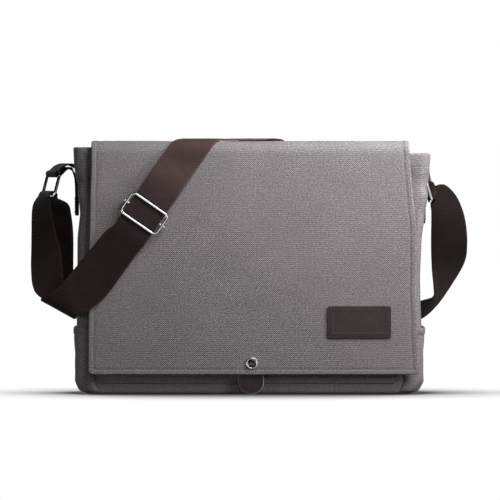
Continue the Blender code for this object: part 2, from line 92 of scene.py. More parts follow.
# Webbing strap, buckle and rings.
WEBBING = 0.0380
WEB_THICK = 0.0020
WEB_COLUMNS = 13
LIP = 0.0008
PATH_STEP = 0.0028
RIB_PITCH = 0.0017
TWILL_PITCH = 0.0021
SELVEDGE = ((0.36, 0.0002), (0, 0), (-0.36, 0.0002))
BED = 0.0016
HINGE_RUN_Y = 0.0490
BUCKLE = Vector((-0.1093, FLAP_FRONT, 0.1890))
SLOPE = math.radians(55.3)
WIRE_STEP = 0.0025
RING_WIRE = 0.00175
RING_HALF = 0.0215
LEFT_PIVOT = Vector((-0.2050, 0.0, 0.2295))
LEFT_BAR = Vector((0.310, -0.950, 0.0)).normalized()
LEFT_HANG = Vector((-0.27, 0.0, -0.963))
LEFT_HEIGHT = 0.0225
RIGHT_PIVOT = Vector((0.1849, -0.0075, 0.2290))
RIGHT_BAR = Vector((0.0, -0.92, -0.39)).normalized()
RIGHT_HANG = Vector((0.25, 0.0, -0.97))
RIGHT_HEIGHT = 0.0205

# Snap's middle; patch as left, low, right, high; pull tab as middle, low and high.
SNAP = Vector((0.0026, FLAP_FRONT - 0.0003, 0.0330))
PATCH = (0.0809, 0.0589, 0.1474, 0.0925)
PULL_TAB = (0.0018, 0.0135, 0.0480)


# Shapes

def between(table, height):
    """The left and right edges at a height, read from a table of height, left, right."""
    heights = [row[0] for row in table]
    left = np.interp(height, heights, [row[1] for row in table])
    right = np.interp(height, heights, [row[2] for row in table])
    return float(left), float(right)


def ramp(value, start, end):
    t = min(max((value - start) / (end - start), 0.0), 1.0)
    return t * t * (3 - 2 * t)


def hump(value, centre, width):
    return math.exp(-(((value - centre) / width) ** 2))


def rough(x, y, z, scale, seed=0.0):
    """Smooth noise between about -1 and 1, with features of the given size."""
    return noise.noise(Vector((x / scale + seed, y / scale - seed, z / scale + 2 * seed)))


def distances(points):
    """The distance along a line of points, from its start to each of them."""
    steps = np.linalg.norm(np.diff(points, axis=0), axis=1)
    return np.concatenate([[0], np.cumsum(steps)])


def smooth_through(points, count):
    """Evenly spaced points on a Catmull-Rom curve through the given points."""
    route = np.array(points, float)
    route = np.vstack([2 * route[0] - route[1], route, 2 * route[-1] - route[-2]])
    dense = []
    for a, b, c, d in zip(route, route[1:], route[2:], route[3:]):
        for t in np.linspace(0, 1, 12, endpoint=False):
            linear = (c - a) * t
            square = (2 * a - 5 * b + 4 * c - d) * t**2
            cube = (3 * b - a - 3 * c + d) * t**3
            dense.append(0.5 * (2 * b + linear + square + cube))
    dense = np.array(dense + [route[-2]])
    along = distances(dense)
    even = np.linspace(0, along[-1], count)
    return np.stack([np.interp(even, along, dense[:, k]) for k in range(dense.shape[1])], 1)


def arc(centre, radius, start, end, count):
    """Points on an arc in a plane, with the angles in degrees."""
    angles = [math.radians(start + (end - start) * k / (count - 1)) for k in range(count)]
    return [(centre[0] + radius * math.cos(a), centre[1] + radius * math.sin(a)) for a in angles]


def rounded_rectangle(half_x, half_y, radius, count=9):
    inner_x, inner_y = half_x - radius, half_y - radius
    corners = [(inner_x, inner_y), (-inner_x, inner_y), (-inner_x, -inner_y), (inner_x, -inner_y)]
    points = []
    for k, corner in enumerate(corners):
        points += arc(corner, radius, 90 * k, 90 * k + 90, count)
    return points


def dense_loop(outline, step):
    """A closed outline with points added, so that they stand about a step apart."""
    dense = []
    for (x0, y0), (x1, y1) in zip(outline, outline[1:] + outline[:1]):
        parts = max(int(math.dist((x0, y0), (x1, y1)) / step), 1)
        dense += [(x0 + (x1 - x0) * k / parts, y0 + (y1 - y0) * k / parts) for k in range(parts)]
    return dense


def circle(sides):
    """The cosine and sine of each corner of a round section."""
    turns = [2 * math.pi * j / sides for j in range(sides)]
    return [(math.cos(turn), math.sin(turn)) for turn in turns]


def ring_quads(first, second, sides, shift=0):
    """The faces between two rings of points, each given by the number of its first point."""
    return [[first + j, first + (j + 1) % sides,
             second + (j + 1 + shift) % sides, second + (j + shift) % sides] for j in range(sides)]


def cell(row, col):
    """The four corners of one cell of a grid."""
    return [(row, col), (row, col + 1), (row + 1, col + 1), (row + 1, col)]


def unit(rows):
    length = np.linalg.norm(rows, axis=-1, keepdims=True)
    return rows / np.maximum(length, 1e-9)


def make(name, verts, faces, uvs, finish, body):
    """A mesh object. uvs is a list with one pair of metres for each corner of each face."""
    mesh = bpy.data.meshes.new(name)
    mesh.from_pydata([tuple(v) for v in verts], [], faces)
    if uvs is not None:
        layer = mesh.uv_layers.new(name="cloth")
        layer.data.foreach_set("uv", np.array(uvs, dtype=np.float32).ravel())
    mesh.materials.append(finish)
    shape = bmesh.new()
    shape.from_mesh(mesh)
    bmesh.ops.remove_doubles(shape, verts=shape.verts, dist=1e-6)
    bmesh.ops.recalc_face_normals(shape, faces=shape.faces)
    shape.to_mesh(mesh)
    shape.free()
    mesh.polygons.foreach_set("use_smooth", [True] * len(mesh.polygons))
    piece = bpy.data.objects.new(name, mesh)
    bpy.context.scene.collection.objects.link(piece)
    if body:
        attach(piece, body)
    return piece


def grid_normals(grid, closed):
    """Unit normals of a grid of points, rows by columns."""
    down = np.gradient(grid, axis=0)
    if closed:
        across = (np.roll(grid, -1, axis=1) - np.roll(grid, 1, axis=1)) / 2
    else:
        across = np.gradient(grid, axis=1)
    return unit(np.cross(across, down))


def grid_lengths(grid, closed):
    """Distance along the columns and down the rows, averaged so that the weave runs true."""
    across = np.linalg.norm(np.diff(grid, axis=1), axis=2)
    u = np.concatenate([[0], np.cumsum(across.mean(axis=0))])
    down = np.linalg.norm(np.diff(grid, axis=0), axis=2)
    v = np.concatenate([[0], np.cumsum(np.median(down, axis=1))])
    if closed:
        last = np.linalg.norm(grid[:, 0] - grid[:, -1], axis=1).mean()
        u = np.append(u, u[-1] + last)
    return u, v


def cloth(name, grid, thick, finish, body, flip=1.0, closed=False):
    """A closed cloth solid: the outer face runs through the grid, the inner one lies inside it.

    The free edges are rounded. A flip of -1 turns the side that counts as outside.
    """
    grid = np.asarray(grid, float)
    rows, cols = grid.shape[:2]
    normal = grid_normals(grid, closed) * flip
    inner = grid - normal * thick
    u, v = grid_lengths(grid, closed)
    verts = [*grid.reshape(-1, 3), *inner.reshape(-1, 3)]
    faces, uvs = [], []

    def at(layer, row, col):
        return layer * rows * cols + row * cols + col % cols

    def quad(corners, marks):
        faces.append(corners)
        uvs.extend(marks)

    spans = cols if closed else cols - 1
    for row in range(rows - 1):
        for col in range(spans):
            place = cell(row, col)
            marks = [(u[c], v[r]) for r, c in place]
            quad([at(0, *corner) for corner in place], marks)
            quad([at(1, *corner) for corner in reversed(place)], marks[::-1])

    def edge(line, outward):
        """Rounds one free edge: line is the list of (row, column) along it."""
        start = len(verts)
        for (row, col), away in zip(line, outward):
            middle = (grid[row, col % cols] + inner[row, col % cols]) / 2
            verts.append(middle + away * thick * EDGE_ROUND)
        for k in range(len(line) - 1):
            (r0, c0), (r1, c1) = line[k], line[k + 1]
            marks = [(u[c0], v[r0]), (u[c1], v[r1]), (u[c1], v[r1]), (u[c0], v[r0])]
            quad([at(0, r0, c0), at(0, r1, c1), start + k + 1, start + k], marks)
            quad([start + k, start + k + 1, at(1, r1, c1), at(1, r0, c0)], marks)

    top_away = unit(grid[0] - grid[1])
    low_away = unit(grid[-1] - grid[-2])
    columns = list(range(cols)) + ([cols] if closed else [])
    edge([(0, c) for c in columns], [top_away[c % cols] for c in columns])
    edge([(rows - 1, c) for c in columns], [low_away[c % cols] for c in columns])
    if not closed:
        left_away = unit(grid[:, 0] - grid[:, 1])
        right_away = unit(grid[:, -1] - grid[:, -2])
        edge([(r, 0) for r in range(rows)], left_away)
        edge([(r, cols - 1) for r in range(rows)], right_away)
        close_corners(verts, faces, uvs, rows, cols, at, u, v)
    return make(name, verts, faces, uvs, finish, body)


def close_corners(verts, faces, uvs, rows, cols, at, u, v):
    """The four corners of an open sheet, where two rounded edges meet."""
    base = 2 * rows * cols
    top, low = base, base + cols
    left, right = base + 2 * cols, base + 2 * cols + rows
    corners = [
        (at(0, 0, 0), at(1, 0, 0), top, left, 0, 0),
        (at(0, 0, cols - 1), at(1, 0, cols - 1), top + cols - 1, right, cols - 1, 0),
        (at(0, rows - 1, 0), at(1, rows - 1, 0), low, left + rows - 1, 0, rows - 1),
        (at(0, rows - 1, cols - 1), at(1, rows - 1, cols - 1),
         low + cols - 1, right + rows - 1, cols - 1, rows - 1),
    ]
    for outer, inner, first, second, col, row in corners:
        faces.append([outer, first, second])
        faces.append([inner, second, first])
        uvs.extend([(u[col], v[row])] * 6)


def band(name, path, body, span=None, thick=WEB_THICK, finish=None):
    """A webbing band with rounded selvedges about the mid surface path, (N, WEB_COLUMNS, 3).

    span is the first and last row to use, so that neighbouring pieces share one shape.
    """
    path = np.asarray(path, float)
    first_row, last_row = span or (0, len(path) - 1)
    along = distances(path.mean(axis=1))[first_row:last_row + 1]
    normals = unit(np.cross(np.gradient(path, axis=0), np.gradient(path, axis=1)))
    normal = normals[first_row:last_row + 1]
    tracks = path[first_row:last_row + 1]
    rows = len(tracks)
    wide = np.linalg.norm(tracks[:, -1] - tracks[:, 0], axis=1).mean() / 2
    across = unit(tracks[:, -1] - tracks[:, 0])
    share = np.linspace(-1, 1, WEB_COLUMNS)
    at_edge = (np.abs(share) == 1)[None, :, None]
    inset = -share[None, :, None] * across[:, None, :] * LIP * at_edge
    upper = tracks + normal * thick / 2 + inset
    lower = tracks - normal * thick / 2 + inset
    marks = list(share * wide)
    sections = []
    for k in range(rows):
        right = [tracks[k, -1] + normal[k, -1] * thick * n - across[k] * b
                 for n, b in SELVEDGE]
        left = [tracks[k, 0] + normal[k, 0] * thick * n + across[k] * b
                for n, b in reversed(SELVEDGE)]
        sections.append([*upper[k], *right, *lower[k][::-1], *left])
    us = marks + [wide] * 3 + marks[::-1] + [-wide] * 3
    count = len(us)
    verts = [point for section in sections for point in section]
    faces, uvs = [], []
    for k in range(rows - 1):
        faces += ring_quads(k * count, (k + 1) * count, count)
        near, far = along[k], along[k + 1]
        for here, there in zip(us, us[1:] + us[:1]):
            uvs += [(here, near), (there, near), (there, far), (here, far)]
    for k in (0, rows - 1):
        faces.append([k * count + j for j in range(count)])
        uvs += [(us[j], along[k]) for j in range(count)]
    piece = make(name, verts, faces, uvs, finish or WEB_SHADED, body)
    ends = {key for face in piece.data.polygons if len(face.vertices) > 4 for key in face.edge_keys}
    for edge in piece.data.edges:
        edge.use_edge_sharp = edge.key in ends
    return piece, along[-1] - along[0]


def straight(first, second):
    """Points straight across the band between its two edges."""
    first, second = np.array(first, float), np.array(second, float)
    return [first + (second - first) * t for t in np.linspace(0, 1, WEB_COLUMNS)]


def wire(name, points, radius, finish, body, cyclic=False, sides=16):
    """A round bar swept along close points, with domed ends where it is open."""
    line = np.array([tuple(p) for p in points], float)
    if cyclic:
        ahead = unit(np.roll(line, -1, axis=0) - np.roll(line, 1, axis=0))
    else:
        ahead = unit(np.gradient(line, axis=0))
    radii = np.full(len(line), radius)
    if not cyclic:
        for turn in (30, 60, 85):
            reach = radius * math.sin(math.radians(turn))
            line = np.vstack([line[:1], line, line[-1:]])
            radii = np.concatenate([[radius], radii, [radius]])
            ahead = np.vstack([ahead[:1], ahead, ahead[-1:]])
            line[0] = np.array(points[0]) - ahead[0] * reach
            line[-1] = np.array(points[-1]) + ahead[-1] * reach
            radii[0] = radii[-1] = radius * math.cos(math.radians(turn))
    side = Vector(ahead[0]).orthogonal().normalized()
    verts = []
    for k in range(len(line)):
        axis = Vector(ahead[k])
        side = (side - axis * side.dot(axis)).normalized()
        up = axis.cross(side)
        for cos, sin in circle(sides):
            verts.append(Vector(line[k]) + (side * cos + up * sin) * radii[k])
    faces = []
    count = len(line)
    shift = 0
    if cyclic:
        axis = Vector(ahead[0])
        first = (Vector(verts[0]) - Vector(line[0])).normalized()
        carried = (side - axis * side.dot(axis)).normalized()
        turn = math.atan2(axis.dot(first.cross(carried)), first.dot(carried))
        shift = round(turn / (2 * math.pi) * sides)
    for k in range(count if cyclic else count - 1):
        after = (k + 1) % count
        faces += ring_quads(k * sides, after * sides, sides, 0 if after else shift)
    if not cyclic:
        faces.append(list(range(sides)))
        faces.append([(count - 1) * sides + j for j in range(sides)])
    return make(name, verts, faces, None, finish, body)


FRONTWARD = (0, -1, 0)

# One stitch, as rows of place along it, thickness and rise, in shares of its size.
STITCH = ((-0.5, 0.25, -0.5), (-0.38, 0.85, 0.25), (0, 1.0, 0.6),
          (0.38, 0.85, 0.25), (0.5, 0.25, -0.5))


def facing(points, normal):
    """A run of points for stitches that all stand off a flat face."""
    return points, [normal] * len(points)


def stitches(name, runs, finish, body, pitch=0.0042, length=0.0031, radius=0.00034):
    """Short raised threads along runs of (points, normals): a row of top-stitching."""
    verts, faces = [], []
    ring = 6
    for points, normals in runs:
        line, out = np.array(points, float), np.array(normals, float)
        along = distances(line)
        total = max(int(along[-1] / pitch), 1)
        for k in range(total):
            middle = (k + 0.5) * along[-1] / total
            stations = []
            for part, fat, rise in STITCH:
                at = middle + part * length
                place = np.array([np.interp(at, along, line[:, c]) for c in range(3)])
                normal = np.array([np.interp(at, along, out[:, c]) for c in range(3)])
                stations.append((place, normal / np.linalg.norm(normal), fat, rise))
            ahead = stations[-1][0] - stations[0][0]
            ahead = ahead / np.linalg.norm(ahead)
            start = len(verts)
            for place, normal, fat, rise in stations:
                side = np.cross(ahead, normal)
                for cos, sin in circle(ring):
                    offset = side * cos * 1.15 + normal * (sin * 0.8 + rise)
                    verts.append(place + offset * radius * fat)
            end = start + (len(STITCH) - 1) * ring
            for first in range(start, end, ring):
                faces += ring_quads(first, first + ring, ring)
            faces.append([start + j for j in range(ring)])
            faces.append([end + j for j in range(ring)])
    return make(name, verts, faces, None, finish, body)


def turned(name, profile, finish, body, sides=48):
    """A round piece about the snap's axis. The profile is (radius, height outwards)."""
    verts, faces = [], []
    for radius, height in profile:
        for cos, sin in circle(sides):
            verts.append((SNAP.x + radius * cos, SNAP.y - height, SNAP.z + radius * sin))
    for k in range(len(profile) - 1):
        faces += ring_quads(k * sides, (k + 1) * sides, sides)
    return make(name, verts, faces, None, finish, body)


# Materials

class Look:
    """A Principled material and short calls for building its node tree."""

    def __init__(self, name, roughness, metallic=0.0, specular=0.5, sheen=0.0):
        self.made = bpy.data.materials.new(name)
        self.made.use_nodes = True
        self.tree = self.made.node_tree
        self.shader = self.tree.nodes["Principled BSDF"]
        self.shader.inputs["Roughness"].default_value = roughness
        self.shader.inputs["Metallic"].default_value = metallic
        self.shader.inputs["Specular IOR Level"].default_value = specular
        self.shader.inputs["Sheen Weight"].default_value = sheen
        self.shader.inputs["Sheen Roughness"].default_value = 0.45

    def node(self, kind, **settings):
        made = self.tree.nodes.new(kind)
        for key, value in settings.items():
            setattr(made, key, value)
        return made

    def link(self, source, target):
        self.tree.links.new(source, target)

    def cloth_map(self):
        return self.node("ShaderNodeUVMap", uv_map="cloth").outputs["UV"]

    def object_map(self):
        return self.node("ShaderNodeTexCoord").outputs["Object"]

    def math(self, operation, first, second=None):
        made = self.node("ShaderNodeMath", operation=operation)
        for socket, value in zip(made.inputs, (first, second)):
            if value is None:
                continue
            if isinstance(value, (int, float)):
                socket.default_value = value
            else:
                self.link(value, socket)
        return made.outputs[0]

    def split(self, vector):
        made = self.node("ShaderNodeSeparateXYZ")
        self.link(vector, made.inputs[0])
        return made.outputs

    def noise(self, vector, scale, stretch=(1, 1, 1), detail=3.0, roughness=0.55):
        """Noise with a scale in features per metre; a stretch below 1 lengthens an axis."""
        mapping = self.node("ShaderNodeMapping")
        mapping.inputs["Scale"].default_value = stretch
        self.link(vector, mapping.inputs["Vector"])
        made = self.node("ShaderNodeTexNoise")
        made.inputs["Scale"].default_value = scale
        made.inputs["Detail"].default_value = detail
        made.inputs["Roughness"].default_value = roughness
        self.link(mapping.outputs[0], made.inputs["Vector"])
        return made.outputs["Fac"]

    def spread(self, value, low, high, new_low=0.0, new_high=1.0):
        made = self.node("ShaderNodeMapRange", clamp=True)
        self.link(value, made.inputs["Value"])
        limits = {"From Min": low, "From Max": high, "To Min": new_low, "To Max": new_high}
        for key, number in limits.items():
            made.inputs[key].default_value = number
        return made.outputs[0]

    def colours(self, value, stops):
        made = self.node("ShaderNodeValToRGB")
        ramp_stops = made.color_ramp.elements
        while len(ramp_stops) < len(stops):
            ramp_stops.new(0.5)
        for stop, (place, colour) in zip(ramp_stops, stops):
            stop.position = place
            stop.color = (*colour, 1.0)
        self.link(value, made.inputs["Fac"])
        return made.outputs["Color"]

    def shade(self, colour, amount):
        """A colour times a grey amount."""
        made = self.node("ShaderNodeVectorMath", operation="SCALE")
        self.link(colour, made.inputs[0])
        self.link(amount, made.inputs["Scale"])
        return made.outputs["Vector"]

    def finish(self, colour, heights, roughness=None):
        """heights is a list of (value, distance in metres, strength), laid over each other."""
        self.link(colour, self.shader.inputs["Base Color"])
        if roughness is not None:
            self.link(roughness, self.shader.inputs["Roughness"])
        below = None
        for value, distance, strength in heights:
            bump = self.node("ShaderNodeBump")
            bump.inputs["Distance"].default_value = distance
            bump.inputs["Strength"].default_value = strength
            self.link(value, bump.inputs["Height"])
            if below is not None:
                self.link(below, bump.inputs["Normal"])
            below = bump.outputs["Normal"]
        if below is not None:
            self.link(below, self.shader.inputs["Normal"])
        return self.made


def canvas(name):
    """Washed canvas: close rows of plain weave, each row dotted light and dark by its yarns."""
    look = Look(name, 0.95, specular=0.08, sheen=0.05)
    place = look.cloth_map()
    u, v, _ = look.split(place)
    drift = look.math("MULTIPLY", look.noise(place, 45.0, detail=2.0), 4.0)
    across = look.math("ADD", look.math("MULTIPLY", u, 2 * math.pi / WEAVE_PITCH), drift)
    along = look.math("ADD", look.math("MULTIPLY", v, 2 * math.pi / WEAVE_PITCH), drift)
    warp = look.math("SINE", across)
    weft = look.math("SINE", along)
    weave = look.spread(look.math("MULTIPLY", warp, weft), -1.0, 1.0)
    line = look.spread(weft, -1.0, 1.0)
    fleck = look.noise(place, 900.0, (0.60, 1.0, 1.0), detail=1.0)
    slub = look.noise(place, 260.0, (0.25, 2.0, 1.0), detail=2.0)
    wash = look.noise(place, 22.0, detail=4.0)
    mixed = look.math("ADD", look.math("MULTIPLY", fleck, 0.85), look.math("MULTIPLY", slub, 0.15))
    colour = look.colours(mixed, [(0.34, (0.205, 0.185, 0.191)), (0.46, (0.280, 0.255, 0.263)),
                                  (0.54, (0.330, 0.303, 0.311)), (0.66, (0.440, 0.408, 0.417))])
    colour = look.shade(colour, look.spread(wash, 0.25, 0.75, 0.94, 1.06))
    colour = look.shade(colour, look.spread(weave, 0.0, 1.0, 0.70, 1.30))
    colour = look.shade(colour, look.spread(line, 0.0, 1.0, 0.84, 1.16))
    return look.finish(colour, [(wash, 0.0030, 0.22), (mixed, 0.0008, 0.35), (weave, 0.0005, 0.60)])


def webbing(name, painted_light_tone, painted_shade_span=None):
    """Cotton webbing: ribs across the band, woven in a fine broken twill.

    The optional last argument is the stretch of the strap, in metres along it, over which painted
    shade darkens the colour; the tone scales the whole colour as painted light and shade.
    """
    look = Look(name, 0.92, specular=0.06, sheen=0.03)
    place = look.cloth_map()
    u, v, _ = look.split(place)
    ribs = look.math("MULTIPLY", v, math.pi / RIB_PITCH)
    rib = look.math("ABSOLUTE", look.math("SINE", ribs))
    twill = look.math("ADD", look.math("MULTIPLY", u, 2 * math.pi / TWILL_PITCH), ribs)
    twill = look.spread(look.math("SINE", twill), -1.0, 1.0)
    weave = look.math("ADD", look.math("MULTIPLY", rib, 0.55), look.math("MULTIPLY", twill, 0.45))
    fuzz = look.noise(place, 900.0, (1.0, 0.7, 1.0), detail=2.0)
    worn = look.noise(place, 45.0, detail=3.0)
    mixed = look.math("ADD", look.math("MULTIPLY", weave, 0.6), look.math("MULTIPLY", fuzz, 0.4))
    base = [(0.022, 0.0125, 0.0120), (0.062, 0.0385, 0.0365), (0.118, 0.0780, 0.0740)]
    # The tone makes each copy of the webbing brighter or darker as painted light and shade.
    dark, middle, pale = [tuple(c * painted_light_tone for c in colour) for colour in base]
    colour = look.colours(mixed, [(0.18, dark), (0.50, middle), (0.82, pale)])
    # Painted shade: the colour darkens to about a third over the given stretch along the strap.
    if painted_shade_span:
        colour = look.shade(colour, look.spread(v, *painted_shade_span, 1.0, 0.36))
    # Paler selvedges: partly dust, partly a painted sheen.
    edge = look.spread(look.math("ABSOLUTE", u), 0.0174, 0.0190, 1.0, 1.35)
    colour = look.shade(colour, look.spread(worn, 0.3, 0.7, 0.88, 1.12))
    colour = look.shade(colour, edge)
    return look.finish(colour, [(weave, 0.0007, 0.60), (fuzz, 0.0005, 0.35)])


def leather(name, colour, grain_strength=0.35):
    look = Look(name, 0.52, specular=0.4)
    place = look.object_map()
    cells = look.node("ShaderNodeTexVoronoi", feature="DISTANCE_TO_EDGE")
    cells.inputs["Scale"].default_value = 950.0
    look.link(place, cells.inputs["Vector"])
    grain = look.spread(cells.outputs["Distance"], 0.0, 0.25)
    pores = look.noise(place, 1600.0, detail=2.0)
    cloud = look.noise(place, 60.0, detail=4.0)
    dark, pale = tuple(c * 0.72 for c in colour), tuple(c * 1.35 for c in colour)
    tones = [(0.30, dark), (0.55, colour), (0.75, pale)]
    tint = look.colours(cloud, tones)
    tint = look.shade(tint, look.spread(grain, 0.0, 1.0, 0.75, 1.05))
    gloss = look.spread(cloud, 0.3, 0.7, 0.44, 0.62)
    heights = [(cloud, 0.0010, 0.25), (grain, 0.0004, grain_strength), (pores, 0.0002, 0.3)]
    return look.finish(tint, heights, gloss)


def metal(name, colour, roughness, scratch=0.10):
    look = Look(name, roughness, metallic=1.0)
    place = look.object_map()
    haze = look.noise(place, 260.0, detail=4.0)
    lines = look.noise(place, 1500.0, (1.0, 0.08, 0.08), detail=2.0)
    tint = look.colours(haze, [(0.3, tuple(c * 0.90 for c in colour)), (0.7, colour)])
    gloss = look.spread(haze, 0.3, 0.8, roughness * 0.7, roughness + scratch)
    return look.finish(tint, [(haze, 0.0003, 0.10), (lines, 0.00006, 0.25)], gloss)


def lining_cloth(name):
    """Plain woven polyester: a fine sheen twill."""
    look = Look(name, 0.62, specular=0.35, sheen=0.15)
    place = look.cloth_map()
    u, v, _ = look.split(place)
    slant = look.math("MULTIPLY", look.math("ADD", u, v), 2 * math.pi / 0.0011)
    twill = look.spread(look.math("SINE", slant), -1.0, 1.0)
    cloud = look.noise(place, 40.0, detail=4.0)
    fuzz = look.noise(place, 1100.0, detail=2.0)
    colour = look.colours(cloud, [(0.3, (0.048, 0.044, 0.044)), (0.7, (0.074, 0.068, 0.068))])
    colour = look.shade(colour, look.spread(twill, 0.0, 1.0, 0.80, 1.12))
    return look.finish(colour, [(cloud, 0.0030, 0.25), (twill, 0.0003, 0.45), (fuzz, 0.0003, 0.2)])


def thread(name, colour):
    look = Look(name, 0.75, specular=0.25, sheen=0.1)
    place = look.object_map()
    twist = look.noise(place, 2400.0, detail=2.0)
    tint = look.colours(twist, [(0.3, tuple(c * 0.7 for c in colour)), (0.7, colour)])
    return look.finish(tint, [(twist, 0.0002, 0.5)])


def stiffener():
    look = Look("bag_board", 0.6, specular=0.35)
    place = look.object_map()
    flow = look.noise(place, 90.0, (1.0, 0.15, 1.0), detail=4.0)
    speck = look.noise(place, 900.0, detail=2.0)
    tint = look.colours(flow, [(0.3, (0.085, 0.080, 0.076)), (0.7, (0.118, 0.112, 0.106))])
    return look.finish(tint, [(flow, 0.0006, 0.2), (speck, 0.0002, 0.3)])


CANVAS = canvas("bag_canvas")
# Lit and shaded copies of one webbing: the front run is painted light that fades to painted shade
# down the strap, the loop over the right ring fades to painted shade towards the ring, and the
# other pieces are darker copies as painted shade.
WEB = webbing("bag_webbing", 1.25, (0.140, 0.235))
WEB_SHADED = webbing("bag_webbing_painted_shade", 0.50)
WEB_REAR_SHADED = webbing("bag_webbing_rear_painted_shade", 0.55)
WEB_LOOP_SHADED = webbing("bag_webbing_loop_painted_shade", 0.66, (0.320, 0.405))
LEATHER = leather("bag_leather", (0.036, 0.0235, 0.0225))
LEATHER_EDGE = leather("bag_leather_edge", (0.480, 0.440, 0.430), 0.15)
CHROME = metal("bag_chrome", (0.58, 0.58, 0.60), 0.16)
DARK_METAL = metal("bag_snap_dome", (0.070, 0.066, 0.066), 0.28)
LINING = lining_cloth("bag_lining")
THREAD = thread("bag_thread", (0.330, 0.305, 0.305))
DARK_THREAD = thread("bag_dark_thread", (0.040, 0.030, 0.030))
BOARD = stiffener()


# Body

CORNER = 0.0120
FRONT_COLUMNS = 61
CORNER_COLUMNS = 8
SIDE_COLUMNS = 25
GUSSET_MIDDLE = 0.1783
HALF_WIDTH = 0.18
TOP_SLANT = 0.0032
HEM_SEAM = 0.1647
TOP_HEM = 0.2345


def side_reach(z, y, side):
    """How far the gusset's outer face stands from the middle at a height and depth.

    Above the pocket the middle stays in while the edges flare out, and two soft creases
    cross each edge below the top.
    """
    left, right = between(OUTLINE, z)
    edge = -left if side < 0 else right
    reach = HALF_DEPTH - CORNER
    across = min(abs(y) / reach, 1.0)
    power = 2.0 + 2.0 * ramp(z, 0.12, 0.20)
    pinch = ramp(z, 0.05, 0.11)
    middle = edge - pinch * max(edge - GUSSET_MIDDLE, 0.0)
    face = middle + (edge - middle) * across**power
    lean = 0.217 + 0.30 * (abs(y) - 0.036) * (1 if side < 0 else -0.6)
    crease = 0.0016 * hump(z, lean, 0.0042) * ramp(abs(y), 0.016, 0.036)
    second = 0.0010 * hump(z, lean - 0.024, 0.0050) * ramp(abs(y), 0.022, 0.038)
    soft = 0.0007 * (1 + rough(y, side, z, 0.034, 3.0)) * ramp(z, 0.02, 0.05)
    return face - crease - second - soft


def wall_depth(z, inset, rear):
    """Depth of the front or back wall; the back wall steps in under the flap's yoke."""
    depth = HALF_DEPTH - inset
    if rear and z > YOKE_LOW - 0.001:
        depth -= FLAP_PANEL
    return depth


def body_ring(z, inset, rise):
    """One closed ring of points round the body, seen from above, starting at the front left."""
    left = -side_reach(z, HALF_DEPTH, -1) + inset
    right = side_reach(z, HALF_DEPTH, 1) - inset
    front, back = -wall_depth(z, inset, False), wall_depth(z, inset, True)
    points = []

    def top_shift(x):
        return z + rise * (TOP_SLANT * (-x / HALF_WIDTH))

    def wall(x0, x1, y, sign):
        for k in range(FRONT_COLUMNS):
            x = x0 + (x1 - x0) * k / (FRONT_COLUMNS - 1)
            soft = 0.0004 * (1 + rough(x, sign, z, 0.050, 7.0)) * ramp(z, 0.004, 0.03)
            sag = 0.0007 * hump(z, 0.012, 0.007) * (1 - (x / HALF_WIDTH) ** 2)
            # The wall gives a little beside the flap's edges, under its upper corners.
            near = ramp(abs(x), 0.146, 0.163) * (1 - ramp(abs(x), 0.168, 0.178))
            dent = near * (0.0034 * hump(z, 0.2235, 0.0110) - 0.0008 * hump(z, 0.2065, 0.0060))
            points.append((x, y + sign * (sag - soft - dent * (sign < 0)), top_shift(x)))

    def corner(cx, cy, start):
        for k in range(1, CORNER_COLUMNS):
            turn = math.radians(start + 90 * k / CORNER_COLUMNS)
            piping = 0.0005 * hump(k, CORNER_COLUMNS / 2, 0.8)
            crease = hump(z, 0.2225 - 0.10 * (abs(cx) - 0.17), 0.0075)
            crease = crease - 0.35 * hump(z, 0.2090, 0.0060)
            round_off = math.sin(math.pi * k / CORNER_COLUMNS)
            out = CORNER + piping - 0.0026 * crease * (cy < 0) * round_off
            points.append((cx + out * math.cos(turn), cy + out * math.sin(turn), top_shift(cx)))

    def side(sign):
        reach = HALF_DEPTH - CORNER
        for k in range(SIDE_COLUMNS):
            y = sign * (-reach + 2 * reach * k / (SIDE_COLUMNS - 1))
            x = sign * (side_reach(z, y, sign) - inset)
            points.append((x, y, top_shift(x)))

    wall(left + CORNER, right - CORNER, front, -1)
    corner(right - CORNER, front + CORNER, -90)
    side(1)
    corner(right - CORNER, back - CORNER, 0)
    wall(right - CORNER, left + CORNER, back, 1)
    corner(left + CORNER, back - CORNER, 90)
    side(-1)
    corner(left + CORNER, front + CORNER, 180)
    return points


